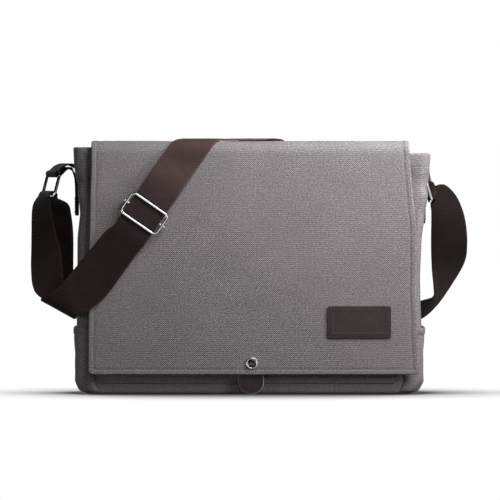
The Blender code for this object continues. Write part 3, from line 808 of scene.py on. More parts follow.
def body():
    """The canvas shell, its base panel, and the stitching of the seams and the top hem."""
    levels = [(0.0, 0.0046, 0), (0.0, 0.0040, 0), (0.0006, 0.0024, 0), (0.0020, 0.0010, 0)]
    levels += [(0.0042, 0.0002, 0)]
    levels += [(0.0070 + 0.0042 * k, 0.0, 0) for k in range(54)]
    for z in (TOP_HEM, 0.2364, 0.2372, 0.2378, 0.2386, 0.2410, 0.2450, 0.2490, 0.2520, BODY_TOP):
        hem = -0.0001 if z > 0.2380 else 0.0001 * (z > 0.2365)
        levels.append((z, hem, ramp(z, TOP_HEM, BODY_TOP)))
    grid = [body_ring(*level) for level in levels]
    shell = cloth("body_canvas", grid, CANVAS_THICK, CANVAS, "root", closed=True)
    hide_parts("front_panel", "back_panel", "gusset_left", "gusset_right")

    columns = np.linspace(-1, 1, 61)
    rows = np.linspace(-1, 1, 19)
    under = [[(x * 0.1690, y * 0.0465, 0.0024 + 0.0008 * (1 - x**8)) for x in columns]
             for y in rows]
    floor_panel = cloth("base_canvas", under, CANVAS_THICK, CANVAS, "root", flip=-1.0)
    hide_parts("bottom_panel")

    seams = []
    for x_side in (-1, 1):
        for y_side in (-1, 1):
            for shift in (-3, 3):
                turn = math.radians(45 + shift * 90 / CORNER_COLUMNS * 0.75)
                normal = (x_side * math.cos(turn), y_side * math.sin(turn), 0)
                away = CORNER + 0.0001
                y = y_side * (HALF_DEPTH - CORNER) + normal[1] * away
                line = []
                for z in np.linspace(0.012, 0.232, 90):
                    x_edge = (side_reach(z, HALF_DEPTH, x_side) - CORNER) * x_side
                    line.append((x_edge + normal[0] * away, y, z))
                seams.append(facing(line, normal))
    line = [(x, -HALF_DEPTH + 0.0002, 0.2376 - TOP_SLANT * x / HALF_WIDTH * 0.2)
            for x in np.linspace(-0.165, 0.165, 80)]
    seams.append(facing(line, FRONTWARD))
    stitches("body_stitching", seams, THREAD, "root")


def outwards(line):
    """Level directions away from the body, for a line that runs round it."""
    along = unit(np.gradient(line, axis=0))
    return np.stack([along[:, 1], -along[:, 0], np.zeros(len(line))], 1)


def side_pocket(side, name, node):
    """A patch pocket wrapped round the gusset, its top hem standing a little open."""
    start = FRONT_COLUMNS - 2
    stop = FRONT_COLUMNS + 2 * (CORNER_COLUMNS - 1) + SIDE_COLUMNS + 2
    heights = [0.0032, 0.0045, *np.linspace(0.008, 0.060, 20)]
    heights += [0.0620, 0.0628, 0.0636, 0.0660, 0.0680, 0.0690]
    rows = []
    for z in heights:
        ring = body_ring(z, 0.0, 0)
        if side < 0:
            total = len(ring)
            first = FRONT_COLUMNS * 2 + (CORNER_COLUMNS - 1) * 2 + SIDE_COLUMNS - 2
            picked = [ring[k % total] for k in range(first, first + stop - start)]
        else:
            picked = ring[start:stop]
        line = np.array(picked, float)
        middle = np.linspace(-1, 1, len(line))
        gape = 0.0022 * ramp(z, 0.035, 0.069) * (1 - middle**2) ** 1.5
        pucker = 0.0007 * ramp(-z, -0.030, -0.006) * np.sin(middle * 21 + side)
        pucker = pucker * (abs(middle) > 0.35)
        hem = 0.0004 * (z > 0.0634) - 0.0003 * (0.0615 < z < 0.0634)
        low = 0.0010 * ramp(-z, -0.006, -0.003)
        away = 0.0017 + gape + pucker + hem - low
        bumpy = np.array([0.0004 * rough(p[0] * side, p[1], z, 0.012, 5.0) for p in line])
        rows.append(line + outwards(line) * (away + bumpy)[:, None])
    pocket = cloth(name, rows, 0.0014, CANVAS, "root")
    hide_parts(node)
    line = rows[23] + (rows[24] - rows[23]) * 0.5
    stitches(name + "_stitching", [(line, outwards(line))], THREAD, "root")


def front_pocket():
    """The patch pocket under the flap: sewn at its sides and foot, with a hem at the top."""
    low_z, high_z, half = 0.012, 0.190, 0.150
    sewn = [0, 0.0006, 0.003, 0.0044, 0.0052, 0.0062]
    across = [*sewn, *np.linspace(0.012, 0.288, 60), *(2 * half - d for d in reversed(sewn))]
    up = [*sewn, *np.linspace(0.012, 0.160, 32)]
    up += [0.163, 0.1642, 0.1652, 0.1664, 0.171, 0.176, 0.178]
    rows = []
    for dz in up:
        row = []
        for dx in across:
            x, z = dx - half, low_z + dz
            sew = min(dx, 2 * half - dx, dz)
            groove = 0.0003 * hump(sew, 0.0052, 0.0007) + 0.0003 * hump(dz, HEM_SEAM, 0.0007)
            belly = 0.0004 * (1 - (x / half) ** 2) * math.sin(math.pi * min(dz / 0.178, 1.0))
            soft = 0.00025 * rough(x, 0, z, 0.045, 2.0)
            row.append((x, -HALF_DEPTH - 0.0015 - belly - soft * ramp(sew, 0, 0.02) + groove, z))
        rows.append(row)
    pocket = cloth("front_pocket_canvas", rows, 0.0012, CANVAS, "root")
    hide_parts("front_pocket")
    y = -HALF_DEPTH - 0.0014
    edge, foot, top, hem_z = half - 0.0050, low_z + 0.005, high_z - 0.004, low_z + HEM_SEAM
    lines = [
        [(-edge, y, top), (-edge, y, foot)],
        [(-edge, y, foot), (edge, y, foot)],
        [(edge, y, foot), (edge, y, top)],
        [(-half + 0.004, y, hem_z), (half - 0.004, y, hem_z)],
    ]
    runs = [facing(line, FRONTWARD) for line in lines]
    stitches("front_pocket_stitching", runs, THREAD, "root")


def inside():
    """The lining tub, sewn under the body's top hem, and the padded laptop divider."""
    levels = [(0.0052, 0.016), (0.0054, 0.006), (0.0070, 0.002)]
    levels += [(z, 0.0) for z in np.linspace(0.012, 0.230, 40)]
    levels += [(0.236, -0.0012), (0.244, -0.0020), (0.2505, -0.0022)]
    rows = []
    for z, inset in levels:
        ring = dense_loop(rounded_rectangle(0.1715 - inset, 0.0450 - inset, 0.014, 7), 0.0055)
        closed = np.array(ring + ring[:1])
        along = distances(closed)
        even = np.linspace(0, along[-1], 181)[:-1]
        x = np.interp(even, along, closed[:, 0])
        y = np.interp(even, along, closed[:, 1])
        soft = [0.0009 * (rough(a, b, z, 0.040, 9.0) - 0.8) * ramp(z, 0.01, 0.04)
                for a, b in zip(x, y)]
        centre = np.stack([x, y], 1)
        away = centre / np.linalg.norm(centre, axis=1)[:, None]
        moved = centre + away * np.array(soft)[:, None]
        rows.append(np.column_stack([moved, np.full(len(moved), z)]))
    tub = cloth("lining_tub", rows, LINING_THICK, LINING, "root",
                flip=-1.0, closed=True)
    columns = np.linspace(-1, 1, 41)
    bottom = [[(x * 0.158, y * 0.032, 0.0062 + 0.0003 * rough(x, y, 0, 0.3)) for x in columns]
              for y in np.linspace(-1, 1, 11)]
    floor_cloth = cloth("lining_floor", bottom, LINING_THICK, LINING, "root")
    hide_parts("lining")

    low, high = (-0.1680, 0.0065), (0.1680, 0.2240)
    wide, tall, depth = 0.336, 0.2175, 0.0270
    rim = [0, 0.002, 0.005]
    columns = np.concatenate([rim, np.linspace(0.010, 0.326, 80), [0.331, 0.334, wide]])
    rows = np.concatenate([rim, np.linspace(0.010, 0.2075, 50), [0.2125, 0.2155, tall]])
    channels = (0.084, 0.168, 0.252)

    def half_thick(dx, dz):
        edge = min(dx, wide - dx, dz, tall - dz)
        crown = math.sqrt(max(1 - (1 - min(edge / 0.014, 1.0)) ** 2, 0.0))
        sewn = max(hump(dx, c, 0.0035) for c in channels)
        return 0.0006 + 0.0026 * crown * (1 - 0.72 * sewn)

    near, far = [
        np.array([[(low[0] + dx, depth + sign * half_thick(dx, dz), low[1] + dz) for dx in columns]
                  for dz in rows])
        for sign in (-1, 1)
    ]
    pad = padded_solid("divider_pad", near, far, LINING, "root")
    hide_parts("laptop_divider")
    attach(pad, "root")
    seams = []
    for c in channels:
        z_line = np.linspace(low[1] + 0.012, high[1] - 0.014, 40)
        line = [(low[0] + c, depth - 0.0013, z) for z in z_line]
        seams.append(facing(line, FRONTWARD))
    stitches("divider_stitching", seams, DARK_THREAD, "root")


def padded_solid(name, near, far, finish, body):
    """Two faces of a pad, joined round their common edge."""
    rows, cols = near.shape[:2]
    u, v = grid_lengths(near, False)
    verts = [*near.reshape(-1, 3), *far.reshape(-1, 3)]
    faces, uvs = [], []
    size = rows * cols
    for r in range(rows - 1):
        for c in range(cols - 1):
            corners = [row * cols + col for row, col in cell(r, c)]
            marks = [(u[col], v[row]) for row, col in cell(r, c)]
            faces += [corners, [size + k for k in reversed(corners)]]
            uvs += marks + marks[::-1]
    border = [(0, c) for c in range(cols)]
    border += [(r, cols - 1) for r in range(1, rows)]
    border += [(rows - 1, c) for c in range(cols - 2, -1, -1)]
    border += [(r, 0) for r in range(rows - 2, 0, -1)]
    for (r0, c0), (r1, c1) in zip(border, border[1:] + border[:1]):
        a, b = r0 * cols + c0, r1 * cols + c1
        faces.append([b, a, size + a, size + b])
        uvs += [(u[c1], v[r1]), (u[c0], v[r0]), (u[c0], v[r0]), (u[c1], v[r1])]
    return make(name, verts, faces, uvs, finish, body)


# Flap

FLAT_END = FLAP_FRONT + FLAP_CORNER
BEND = (FLAP_CORNER + 0.0013) * math.pi / 2
FLAT_RUN = HINGE_RUN_Y - FLAT_END
REAR_TURN_Y = FLAP_BACK - REAR_CORNER
REAR_START = HINGE_RUN_Y - REAR_TURN_Y
REAR_BEND = (REAR_CORNER + 0.0013) * math.pi / 2
HEM = 0.0215


def run_at(height):
    """The distance from the hinge line to a height on the hanging part of the flap."""
    return FLAT_RUN + BEND + FLAP_TOP - FLAP_CORNER - height


def flap_soft(x, run):
    """How far the cloth of the flap stands off its flat shape."""
    broad = 0.0007 * rough(x, run, 0, 0.085, 4.0) + 0.00035 * rough(x, run, 0, 0.030, 8.0)
    calm = ramp(run, -0.005, 0.03) * (1 - 0.5 * ramp(run, run_at(0.05), run_at(HEM)))
    top = -0.0007 * hump(run, 0.050, 0.030)
    return broad * calm + top


def on_flap(x, run, lift):
    """A point over the flap's outside, by its run from the hinge line and its lift outwards."""
    lift = lift + flap_soft(x, run)
    centre_z = FLAP_TOP - FLAP_CORNER
    if run < REAR_START - REAR_BEND:
        z = FLAP_TOP - REAR_CORNER - (REAR_START - REAR_BEND - run)
        return (x, FLAP_BACK + lift, z)
    if run < REAR_START:
        turn = (REAR_START - run) / REAR_BEND * math.pi / 2
        out = REAR_CORNER + lift
        z = FLAP_TOP - REAR_CORNER + out * math.cos(turn)
        return (x, REAR_TURN_Y + out * math.sin(turn), z)
    if run < FLAT_RUN:
        return (x, HINGE_RUN_Y - run, FLAP_TOP + lift)
    if run < FLAT_RUN + BEND:
        turn = (run - FLAT_RUN) / BEND * math.pi / 2
        out = FLAP_CORNER + lift
        return (x, FLAT_END - out * math.sin(turn), centre_z + out * math.cos(turn))
    return (x, FLAP_FRONT - lift, centre_z - (run - FLAT_RUN - BEND))


def flap_sides(run):
    """The flap's left and right edges at a run, with its two lower corners rounded."""
    z = min(FLAP_TOP - FLAP_CORNER - (run - FLAT_RUN - BEND), FLAP_TOP)
    left, right = between(FLAP_EDGES, z)
    left += 0.0006 * rough(run, 0, 0, 0.030, 1.0)
    right += 0.0006 * rough(run, 0, 0, 0.030, 6.0)
    near = max(z - HEM, 0.0)
    radius = 0.0045
    cut = radius - math.sqrt(max(radius**2 - (radius - near) ** 2, 0.0)) if near < radius else 0.0
    return left + cut, right - cut


def edge_steps(total, step):
    """Distances from one edge to the other, close together at both hems."""
    near = [0, 0.0005, 0.0014, 0.0028, 0.0040, 0.0047, 0.0052, 0.0060, 0.0075, 0.0100]
    inner = np.linspace(0.014, total - 0.014, int((total - 0.028) / step))
    return np.concatenate([near, inner, total - np.array(near[::-1])])


def flap_grid(inset, depth, first_run, hem=True):
    """Points over the flap, from first_run to the hem, at a depth below its outside."""
    last_run = run_at(HEM) - inset
    breaks = [(REAR_START - REAR_BEND, 7), (REAR_START, 10), (FLAT_RUN, 24), (FLAT_RUN + BEND, 12),
              (last_run - 0.012, 56)]
    down = []
    for stop, count in breaks:
        if first_run < stop:
            down += list(np.linspace(first_run, stop, count, endpoint=False))
            first_run = stop
    down += [last_run - d for d in (0.0110, 0.0088, 0.0070, 0.0060, 0.0052, 0.0047, 0.0040)]
    down += [last_run - d for d in (0.0028, 0.0014, 0.0005, 0.0)]
    share = edge_steps(0.34, 0.0042) / 0.34
    rows = []
    for run in down:
        left, right = flap_sides(min(run, last_run))
        left, right = left + inset, right - inset
        row = []
        for part in share:
            x = left + (right - left) * part
            lift = -depth
            if hem:
                side = min(part, 1 - part) * (right - left)
                sew = min(side, last_run - run)
                along = run if side < last_run - run else x
                pull = 1 + 0.35 * math.sin(2 * math.pi * along / 0.0126)
                lift += 0.00025 * (sew < 0.0044) - 0.00045 * pull * hump(sew, 0.0050, 0.0007)
                lift += 0.0004 * hump(sew, 0.0095, 0.004) * rough(x, run, 0, 0.012, 3.0)
            row.append(on_flap(x, run, lift))
        rows.append(row)
    return np.array(rows)


def flap():
    """The flap's canvas and lining, with the stitching of its hem and of the yoke."""
    yoke_run = REAR_START - REAR_BEND - (FLAP_TOP - REAR_CORNER - YOKE_LOW)
    cover = cloth("flap_canvas", flap_grid(0, 0, yoke_run), FLAP_PANEL,
                  CANVAS, None, flip=-1.0)
    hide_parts("flap_panel")
    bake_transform(cover)
    lining = cloth("flap_lining_cloth", flap_grid(0.0045, FLAP_PANEL + 0.0003, 0.013, False),
                   LINING_THICK, LINING, "flap", flip=-1.0)
    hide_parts("flap_lining")

    runs = []
    inset = 0.0050
    for side in (0, 1):
        line, out = [], []
        for run in np.arange(0.014, run_at(HEM) - inset, 0.003):
            x = flap_sides(run)[side] + (inset if side == 0 else -inset)
            line.append(on_flap(x, run, -0.0002))
            ahead = np.array(on_flap(x, run, 0.01)) - np.array(line[-1])
            out.append(ahead / np.linalg.norm(ahead))
        runs.append((line, out))
    low = run_at(HEM) - inset
    line = [on_flap(x, low, -0.0002) for x in np.linspace(-0.1625, 0.1712, 110)]
    runs.append(facing(line, FRONTWARD))
    stitches("flap_stitching", runs, THREAD, "flap")
    runs = []
    for up in (0.0042, 0.0105):
        line = [on_flap(x, yoke_run + up, 0.0) for x in np.linspace(-0.160, 0.161, 100)]
        runs.append(facing(line, (0, 1, 0)))
    stitches("yoke_stitching", runs, THREAD, "root")


def patch():
    """A leather patch: rounded edge, stitched all round, with a plain debossed frame."""
    left, low, right, high = PATCH
    wide, tall = right - left, high - low
    steps = np.array([0, 0.0003, 0.0008, 0.0014])
    across, up = [
        np.concatenate([steps, np.arange(0.0020, size - 0.0019, 0.00055), size - steps[::-1]])
        for size in (wide, tall)
    ]
    thick, radius = 0.0016, 0.0030
    rows = []
    for dz in up:
        row = []
        for dx in across:
            x, z = left + dx, low + dz
            near_x, near_z = min(dx, wide - dx), min(dz, tall - dz)
            if near_x < radius and near_z < radius:
                pull = math.hypot(radius - near_x, radius - near_z)
                if pull > radius:
                    scale = radius / pull
                    x += (radius - near_x) * (1 - scale) * (1 if dx < wide / 2 else -1)
                    z += (radius - near_z) * (1 - scale) * (1 if dz < tall / 2 else -1)
            edge = min(near_x, near_z)
            round_off = 0.0005 * (1 - min(edge / 0.0012, 1.0)) ** 2
            sewn = 0.00030 * hump(edge, 0.0024, 0.0006)
            frame_line = 0.00038 * hump(edge, 0.0068, 0.00065)
            inner = 0.00018 * ramp(edge, 0.0072, 0.0082)
            soft = 0.00012 * rough(x, z, 0, 0.010, 5.0)
            y = FLAP_FRONT - thick + round_off + sewn + frame_line + inner - soft - 0.0002
            row.append((x, y - flap_soft(x, run_at(z)), z))
        rows.append(row)
    piece = cloth("patch_leather", rows, thick, LEATHER, "flap")
    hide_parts("leather_patch")
    inset = 0.0024
    shape = rounded_rectangle(wide / 2 - inset, tall / 2 - inset, 0.0015, 5)
    points = [(left + wide / 2 + x, low + tall / 2 + z) for x, z in shape]
    points = [(x, FLAP_FRONT - thick - flap_soft(x, run_at(z)), z) for x, z in points]
    points.append(points[0])
    stitches("patch_stitching", [facing(points, FRONTWARD)], DARK_THREAD, "flap",
             pitch=0.0030, length=0.0022, radius=0.00030)


def pull_tab():
    """The leather tab behind the hem, with its edge painted."""
    x, low, high = PULL_TAB
    half, thick = 0.0125, 0.0018
    front = FLAP_FRONT + FLAP_PANEL + 0.0016
    rows = []
    foot = np.linspace(low - half, low - half + 0.004, 9)
    for z in [*foot, *np.linspace(low - half + 0.005, high, 34)]:
        reach = math.sqrt(max(half**2 - (low - z) ** 2, 0.0)) if z < low else half
        reach = max(reach, 0.0006)
        row = []
        for part in np.linspace(-1, 1, 31):
            px = x + reach * part
            edge = half - (math.hypot(px - x, min(z - low, 0.0)))
            press = 0.00025 * hump(edge, 0.0026, 0.0007)
            soft = 0.00010 * rough(px, z, 0, 0.009, 4.0)
            row.append((px, front + press + soft, z))
        rows.append(row)
    piece = cloth("pull_tab_leather", rows, thick, LEATHER, "flap")
    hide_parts("leather_pull_tab")
    outline = [(x + half, high - 0.004)]
    outline += [(x + half, z) for z in np.linspace(high - 0.006, low, 12)]
    outline += arc((x, low), half, 0, -180, 33)[1:]
    outline += [(x - half, z) for z in np.linspace(low + 0.002, high - 0.004, 12)]
    points = [(px, front + thick / 2, pz) for px, pz in outline]
    wire("pull_tab_edge", points, 0.00085, LEATHER_EDGE, "flap", sides=10)
    ring = [(x + px, front, low + pz) for px, pz in arc((0, 0), half - 0.0026, 0, -180, 30)]
    stitches("pull_tab_stitching", [facing(ring, FRONTWARD)], DARK_THREAD, "flap",
             pitch=0.0030, length=0.0022, radius=0.00026)


def snap():
    """The snap's cap: a chrome rim round a dark dome."""
    rim = [(0.0060, -0.0004), (0.0062, 0.0003), (0.0061, 0.0009), (0.0056, 0.0013),
           (0.0050, 0.0014), (0.0045, 0.0011), (0.0043, 0.0006), (0.0043, -0.0002)]
    ring = turned("snap_rim", rim, CHROME, "flap")
    dome = [(0.0044, 0.0002)]
    dome += [(0.0043 * math.cos(t), 0.0006 + 0.0015 * math.sin(t))
             for t in np.linspace(0, 1.52, 12)]
    dome.append((0.00005, 0.0021))
    turned("snap_dome", dome, DARK_METAL, "flap")
    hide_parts("snap_cap")


# Strap

# The free loops of the strap, as pairs of points on its two edges.
LEFT_OUTER = [
    ((-0.1985, -0.0664, 0.1120), (-0.1785, -0.0660, 0.0820)),
    ((-0.2130, -0.0645, 0.1012), (-0.1797, -0.0637, 0.0800)),
    ((-0.2170, -0.0560, 0.0988), (-0.1822, -0.0530, 0.0797)),
    ((-0.2170, -0.0440, 0.1020), (-0.1836, -0.0410, 0.0870)),
    ((-0.2160, -0.0330, 0.1160), (-0.1836, -0.0370, 0.1080)),
    ((-0.2140, -0.0210, 0.1370), (-0.1838, -0.0350, 0.1350)),
    ((-0.2110, -0.0025, 0.1680), (-0.1842, -0.0300, 0.1670)),
    ((-0.2090, 0.0140, 0.1880), (-0.1868, -0.0215, 0.1880)),
    ((-0.2105, 0.0170, 0.1980), (-0.1900, -0.0190, 0.1980)),
]
LEFT_INNER = [
    ((-0.1980, -0.0625, 0.1115), (-0.1785, -0.0622, 0.0850)),
    ((-0.2112, -0.0606, 0.1032), (-0.1810, -0.0600, 0.0850)),
    ((-0.2192, -0.0550, 0.1034), (-0.1850, -0.0560, 0.0885)),
    ((-0.2258, -0.0450, 0.1122), (-0.1915, -0.0520, 0.1030)),
    ((-0.2280, -0.0330, 0.1310), (-0.1945, -0.0480, 0.1280)),
    ((-0.2280, -0.0170, 0.1500), (-0.1970, -0.0400, 0.1500)),
    ((-0.2280, -0.0040, 0.1680), (-0.2022, -0.0320, 0.1680)),
    ((-0.2280, 0.0125, 0.1880), (-0.2068, -0.0225, 0.1880)),
    ((-0.2262, 0.0155, 0.1985), (-0.2082, -0.0200, 0.1985)),
]
RIGHT_LOOP = [
    ((0.2045, 0.0185, 0.2180), (0.1900, -0.0135, 0.1990)),
    ((0.2158, 0.0160, 0.2078), (0.1906, -0.0100, 0.1905)),
    ((0.2230, 0.0130, 0.1935), (0.1906, -0.0050, 0.1790)),
    ((0.2272, 0.0120, 0.1772), (0.1904, 0.0020, 0.1660)),
    ((0.2288, 0.0170, 0.1560), (0.1906, 0.0130, 0.1475)),
    ((0.2264, 0.0370, 0.1366), (0.1918, 0.0230, 0.1280)),
    ((0.2132, 0.0640, 0.1120), (0.1940, 0.0320, 0.1100)),
    ((0.1970, 0.0780, 0.0890), (0.1938, 0.0420, 0.0996)),
    ((0.1810, 0.0852, 0.0751), (0.1810, 0.0530, 0.0949)),
    ((0.1622, 0.0865, 0.0715), (0.1698, 0.0535, 0.0885)),
    ((0.1405, 0.0808, 0.0763), (0.1595, 0.0542, 0.0957)),
    ((0.1203, 0.0686, 0.0892), (0.1477, 0.0534, 0.1108)),
    ((0.1020, 0.0560, 0.1120), (0.1330, 0.0526, 0.1345)),
]
# Where the strap leaves its straight line across the flap: its upper and lower edges, in x and z.
FLAP_CURVE = [
    ((-0.1500, 0.1702), (-0.1180, 0.1455)),
    ((-0.1640, 0.1530), (-0.1330, 0.1245)),
    ((-0.1757, 0.1390), (-0.1500, 0.1020)),
    ((-0.1872, 0.1250), (-0.1662, 0.0890)),
]

# Down the strap and across it, as steps in x and in run over the flap.
AHEAD = np.array([-math.cos(SLOPE), math.sin(SLOPE)])
SIDEWAYS = np.array([-AHEAD[1], AHEAD[0]])


def curved(pair, lift):
    """A row of points across the strap between two places on the front of the flap."""
    (x0, z0), (x1, z1) = pair
    return [on_flap(x0 + (x1 - x0) * t, run_at(z0 + (z1 - z0) * t), lift)
            for t in np.linspace(0, 1, WEB_COLUMNS)]


def flap_station(up, lift):
    """A row of points across the strap on the flap, at a distance up from the buckle."""
    middle = np.array([BUCKLE.x, run_at(BUCKLE.z)]) - AHEAD * up
    return [on_flap(*(middle + SIDEWAYS * WEBBING / 2 * t), lift)
            for t in np.linspace(1, -1, WEB_COLUMNS)]


def front_lift(up):
    """How far the strap's middle stands off the flap as it climbs over the buckle's bar."""
    raised = 0.0074
    if up > 0:
        return raised + (BED - raised) * ramp(up, 0.030, 0.072)
    return raised + (BED + WEB_THICK - raised) * ramp(-up, 0.0215, 0.060)


def ring_directions(pivot, bar, hang):
    down = (hang - bar * hang.dot(bar)).normalized()
    out = down.cross(bar)
    if out.x * pivot.x < 0:
        out = -out
    return down, out


def fold_stations(pivot, bar, hang, height, radius, legs):
    """Edges of the strap's fold over a ring's lower bar, from the inner leg to the outer one."""
    down, out = ring_directions(pivot, bar, hang)
    inner = radius - WEB_THICK / 2
    middle = pivot + down * (height + inner - RING_WIRE - 0.0004)
    path = [(-radius, legs)]
    path += [(x, -z) for x, z in arc((0, 0), radius, 180, 0, 9)]
    path += [(radius, legs)]
    stations = []
    for x, z in path:
        place = middle + out * x + down * z
        stations.append(straight(place - bar * WEBBING / 2, place + bar * WEBBING / 2))
    return stations


def strap_path(stations, step):
    """The strap's mid surface through the given stations, at even steps."""
    flat = np.array(stations, float).reshape(len(stations), -1)
    columns = flat.shape[1] // 3
    length = np.linalg.norm(np.diff(flat, axis=0), axis=1).sum() / math.sqrt(columns)
    return smooth_through(flat, int(length / step)).reshape(-1, columns, 3)


def strap():
    """The shoulder strap, as two paths cut into pieces where bodies meet.

    The first runs from the flap's top down its front, over the left ring and back under
    itself. The second runs from the top down the back and round to the right ring.
    """
    top_up = (run_at(BUCKLE.z) - 0.020) / math.sin(SLOPE)
    step = 0.0075
    stations = [flap_station(up, front_lift(up)) for up in np.arange(top_up, -0.0300, -step)]
    lifts = (0.0055, 0.0038, 0.0037, 0.0042)
    stations += [curved(pair, lift) for pair, lift in zip(FLAP_CURVE, lifts)]
    stations += [straight(*pair) for pair in LEFT_OUTER]
    stations += fold_stations(LEFT_PIVOT, LEFT_BAR, LEFT_HANG, LEFT_HEIGHT, 0.0042, 0.0020)
    stations += [straight(*pair) for pair in reversed(LEFT_INNER)]
    stations += [curved(pair, 0.0013) for pair in reversed(FLAP_CURVE)]
    path = strap_path(stations, PATH_STEP)
    middle = path.mean(axis=1)
    peak = int(np.argmin(np.abs(middle[:, 0] + 0.205) + np.abs(middle[:, 2] - 0.207) * 3))
    low = np.flatnonzero((middle[:, 0] < -0.19) & (middle[:, 2] < 0.135))
    first_cut, second_cut = low[low < peak].max(), low[low > peak].min()

    front = band("strap_front", path, None, (0, first_cut), finish=WEB)
    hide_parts("strap_front_run", "strap_left_outer")
    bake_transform(front[0])
    bight = band("strap_left_bight", path, None, (first_cut, second_cut))
    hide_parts("strap_left_fold")
    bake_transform(bight[0])
    back_strand = band("strap_return", path, None, (second_cut, len(path) - 1))
    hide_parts("strap_left_inner", "strap_return_strand")
    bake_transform(back_strand[0])

    stations = [flap_station(up, BED) for up in np.arange(top_up, top_up + 0.135, step)]
    stations += [straight(*pair) for pair in reversed(RIGHT_LOOP)]
    fold = fold_stations(RIGHT_PIVOT, RIGHT_BAR, RIGHT_HANG, RIGHT_HEIGHT, 0.0033, 0.0030)
    stations += reversed(fold)
    path = strap_path(stations, PATH_STEP)
    split = int(np.argmax(path.mean(axis=1)[:, 2] < 0.165))
    rear = band("strap_rear", path, None, (0, split), finish=WEB_REAR_SHADED)
    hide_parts("strap_rear_run")
    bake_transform(rear[0])
    right = band("strap_right", path, None, (split, len(path) - 1), finish=WEB_LOOP_SHADED)
    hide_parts("strap_right_loop", "strap_right_fold")
    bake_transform(right[0])
    sew_fold(path)


def sew_fold(path):
    """The bar of stitches that closes the strap's fold over the right ring."""
    runs = []
    for back in (5, 8):
        row, ahead = path[-back], path[-back + 1] - path[-back - 1]
        out = unit(np.cross(row[-1] - row[0], ahead[0]))
        for sign in (-1, 1):
            runs.append((row[1:-1] + out * sign * 0.0011, [out * sign] * (WEB_COLUMNS - 2)))
    stitches("strap_sewing", runs, DARK_THREAD, "ring_right",
             pitch=0.0030, length=0.0024)


def buckle_place(u, v, n):
    """A point in the buckle's own frame: u across the strap, v up the strap, n off the flap."""
    up = Vector((math.cos(SLOPE), 0, math.sin(SLOPE)))
    across = Vector((math.sin(SLOPE), 0, -math.cos(SLOPE)))
    return BUCKLE + across * u + up * v + Vector((0, -n, 0))


def buckle():
    """The wire frame, its cranked centre bar, and the webbing folded round that bar."""
    gauge, frame_lift = 0.0012, 0.0102
    outline = dense_loop(rounded_rectangle(0.0223, 0.0121, 0.0050, 12), WIRE_STEP)
    points = [buckle_place(u, v, frame_lift) for u, v in outline]
    loop = wire("buckle_frame", points, gauge, CHROME, "buckle", True)
    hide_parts("slide_buckle_frame")
    knee, end, low = 0.0018, 0.0250, 0.0032
    side = [(end - 0.0004, 0.0106), (end, 0.0100), (end, 0.0080), (end, low + knee)]
    side += arc((end - knee, low + knee), knee, 0, -90, 7)[1:]
    side += [(0.016, low), (0.008, low), (0.0, low)]
    bar = [buckle_place(u, 0, n) for u, n in side]
    bar += [buckle_place(-u, 0, n) for u, n in reversed(side[:-1])]
    rod = wire("buckle_bar", bar, gauge, CHROME, "buckle")
    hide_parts("slide_buckle_bar")
    low_n, high_n = 0.0010, 0.0054
    path = [(-0.030, low_n), (-0.015, low_n), (-0.002, low_n)]
    path += arc((0, 0.0032), 0.0022, -90, 90, 9)
    path += [(-0.003, high_n - 0.0002), (-0.009, high_n - 0.0011)]
    path += [(-0.016, 0.0027), (-0.030, 0.0027)]
    half = 0.0188
    stations = [straight(buckle_place(-half, v, n), buckle_place(half, v, n)) for v, n in path]
    fold, length = band("buckle_fold", strap_path(stations, 0.0014), "buckle", thick=0.0014)
    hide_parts("strap_buckle_fold")


def rings():
    """The two chrome rings, each hanging from its upper bar."""
    for name, pivot, bar, hang, height in (
        ("ring_left", LEFT_PIVOT, LEFT_BAR, LEFT_HANG, LEFT_HEIGHT),
        ("ring_right", RIGHT_PIVOT, RIGHT_BAR, RIGHT_HANG, RIGHT_HEIGHT),
    ):
        down, _ = ring_directions(pivot, bar, hang)
        centre = pivot + down * height / 2
        outline = dense_loop(rounded_rectangle(RING_HALF, height / 2, 0.0026, 10), WIRE_STEP)
        points = [centre + bar * u + down * v for u, v in outline]
        loop = wire(name + "_chrome", points, RING_WIRE, CHROME, name, True, 20)
        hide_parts(name)


def tab(name, node, face, pivot, bar, before, after, turn_from, turn_to):
    """A webbing tab: up the gusset, over the ring's upper bar, and back down over itself."""
    side = 1 if pivot.x > 0 else -1
    centre = (abs(pivot.x) - face, pivot.z)
    thick, gap, half = 0.0015, 0.0003, 0.018
    around = arc(centre, RING_WIRE + gap + thick / 2 + gap, 100, -110, 9)
    rows = []
    for away, z in smooth_through(before + around + after, 90):
        turn = ramp(away + z, turn_from, turn_to)
        along = Vector((0, -1, 0)).lerp(bar, turn).normalized()
        middle = Vector((side * (face + away), pivot.y, z))
        rows.append(straight(middle - along * half, middle + along * half))
    piece, length = band(name, rows, "root", thick=thick)
    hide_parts(node)
    off = side * (face + 0.0031 + 0.0009)
    near, far = pivot.y - 0.015, pivot.y + 0.015
    low = min(z for _, z in before) + 0.003
    high = low + 0.016
    box = [(off, near, low), (off, far, low), (off, far, high), (off, near, high), (off, near, low)]
    pairs = [*zip(box, box[1:]), (box[0], box[2]), (box[1], box[3])]
    runs = [facing(pair, (side, 0, 0)) for pair in pairs]
    stitches(name + "_stitching", runs, DARK_THREAD, "root",
             pitch=0.0030, length=0.0023, radius=0.0003)


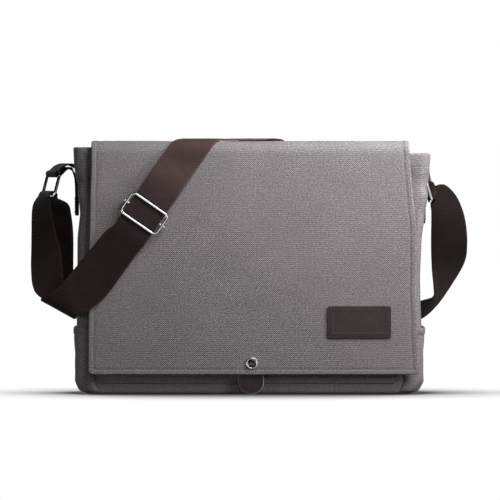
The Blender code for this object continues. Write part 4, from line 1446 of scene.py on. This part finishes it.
def tabs():
    """The ring tabs, as distances off the gusset and heights before and after the turn."""
    before = [(0.0012, 0.186), (0.0012, 0.205), (0.0014, 0.222), (0.0030, 0.2330)]
    before += [(0.0075, 0.2385), (0.0140, 0.2398), (0.0205, 0.2375)]
    after = [(0.0215, 0.2303), (0.0190, 0.2330), (0.0140, 0.2360), (0.0088, 0.2350)]
    after += [(0.0055, 0.2305), (0.0036, 0.2220), (0.0031, 0.205), (0.0031, 0.186)]
    tab("tab_left", "ring_tab_left", 0.1785, LEFT_PIVOT, LEFT_BAR, before, after, 0.236, 0.254)
    before = [(0.0012, 0.178), (0.0012, 0.200), (0.0012, 0.2180), (0.0016, 0.2285)]
    after = [(0.0036, 0.2215), (0.0031, 0.2140), (0.0031, 0.200), (0.0031, 0.178)]
    tab("tab_right", "ring_tab_right", 0.1799, RIGHT_PIVOT, RIGHT_BAR, before, after, 0.207, 0.229)


# Studio

def light(name, place, aim, size, power):
    """A rectangular light that the camera doesn't see."""
    lamp = bpy.data.lights.new(name, "AREA")
    lamp.shape = "RECTANGLE"
    lamp.size, lamp.size_y = size
    lamp.energy = power
    holder = bpy.data.objects.new(name, lamp)
    holder.location = place
    holder.rotation_euler = (Vector(aim) - Vector(place)).to_track_quat("-Z", "Y").to_euler()
    holder.visible_camera = False
    bpy.context.scene.collection.objects.link(holder)


def studio():
    """White glowing paper that darkens near the bag as a painted shadow, a few soft lights, and the
    photograph's view.
    """
    scene = bpy.context.scene
    world = bpy.data.worlds.new("studio")
    world.use_nodes = True
    world.node_tree.nodes["Background"].inputs["Color"].default_value = (1, 1, 1, 1)
    world.node_tree.nodes["Background"].inputs["Strength"].default_value = 1.0
    world.cycles_visibility.diffuse = False
    world.cycles_visibility.glossy = False
    scene.world = world
    scene.view_settings.view_transform = "Standard"
    scene.view_settings.look = "None"

    mesh = bpy.data.meshes.new("studio_floor")
    reach = 6.0
    corners = [(-reach, -reach, 0), (reach, -reach, 0), (reach, reach, 0), (-reach, reach, 0)]
    mesh.from_pydata(corners, [], [(0, 1, 2, 3)])
    floor = bpy.data.objects.new("studio_floor", mesh)
    scene.collection.objects.link(floor)
    paper = bpy.data.materials.new("studio_paper")
    paper.use_nodes = True
    tree = paper.node_tree
    tree.nodes.remove(tree.nodes["Principled BSDF"])
    glow = tree.nodes.new("ShaderNodeEmission")
    # Painted shadow: the paper's glow dims with ambient occlusion near the bag.
    shade = tree.nodes.new("ShaderNodeAmbientOcclusion")
    shade.inputs["Distance"].default_value = 0.22
    tones = tree.nodes.new("ShaderNodeValToRGB")
    dark, white = tones.color_ramp.elements
    dark.color, dark.position = (0.10, 0.09, 0.095, 1), 0.50
    white.color, white.position = (1.02, 1.02, 1.02, 1), 0.93
    tree.links.new(shade.outputs["AO"], tones.inputs["Fac"])
    tree.links.new(tones.outputs["Color"], glow.inputs["Color"])
    tree.links.new(glow.outputs[0], tree.nodes["Material Output"].inputs["Surface"])
    mesh.materials.append(paper)
    floor.visible_diffuse = False

    light("key", (0.23, -0.24, 0.52), (0.0, -0.02, 0.22), (0.7, 0.22), 3.1)
    light("side", (0.60, -0.34, 0.30), (0.16, -0.05, 0.14), (0.2, 0.4), 2.3)
    light("low_left", (-0.55, -0.28, 0.03), (-0.17, -0.03, 0.05), (0.12, 0.08), 0.2)
    light("low_front", (-0.15, -0.90, 0.03), (-0.10, 0, 0.02), (0.5, 0.06), 0.25)
    light("back", (-0.5, 1.1, 0.6), (0, 0, 0.14), (0.8, 0.6), 9.0)

    lens = bpy.data.cameras.new("camera")
    lens.lens = 554.0
    lens.clip_end = 60.0
    lens.sensor_width = 36.0
    view = bpy.data.objects.new("camera", lens)
    aim = Vector((0.0006, FLAP_FRONT, 0.1508))
    view_width = 0.520
    distance = view_width * lens.lens / lens.sensor_width
    tilt = math.radians(1.0)
    view.location = aim + Vector((0, -distance * math.cos(tilt), distance * math.sin(tilt)))
    view.rotation_euler = (math.pi / 2 - tilt, 0, 0)
    scene.collection.objects.link(view)
    scene.camera = view


body()
side_pocket(-1, "side_pocket_canvas_left", "side_pocket_left")
side_pocket(1, "side_pocket_canvas_right", "side_pocket_right")
front_pocket()
inside()
flap()
patch()
pull_tab()
snap()
strap()
buckle()
rings()
tabs()
for node, finish in (("bottom_board", BOARD), ("snap_socket", CHROME), ("snap_stud", CHROME)):
    for slot in bpy.data.objects[node].material_slots:
        slot.material = finish
studio()
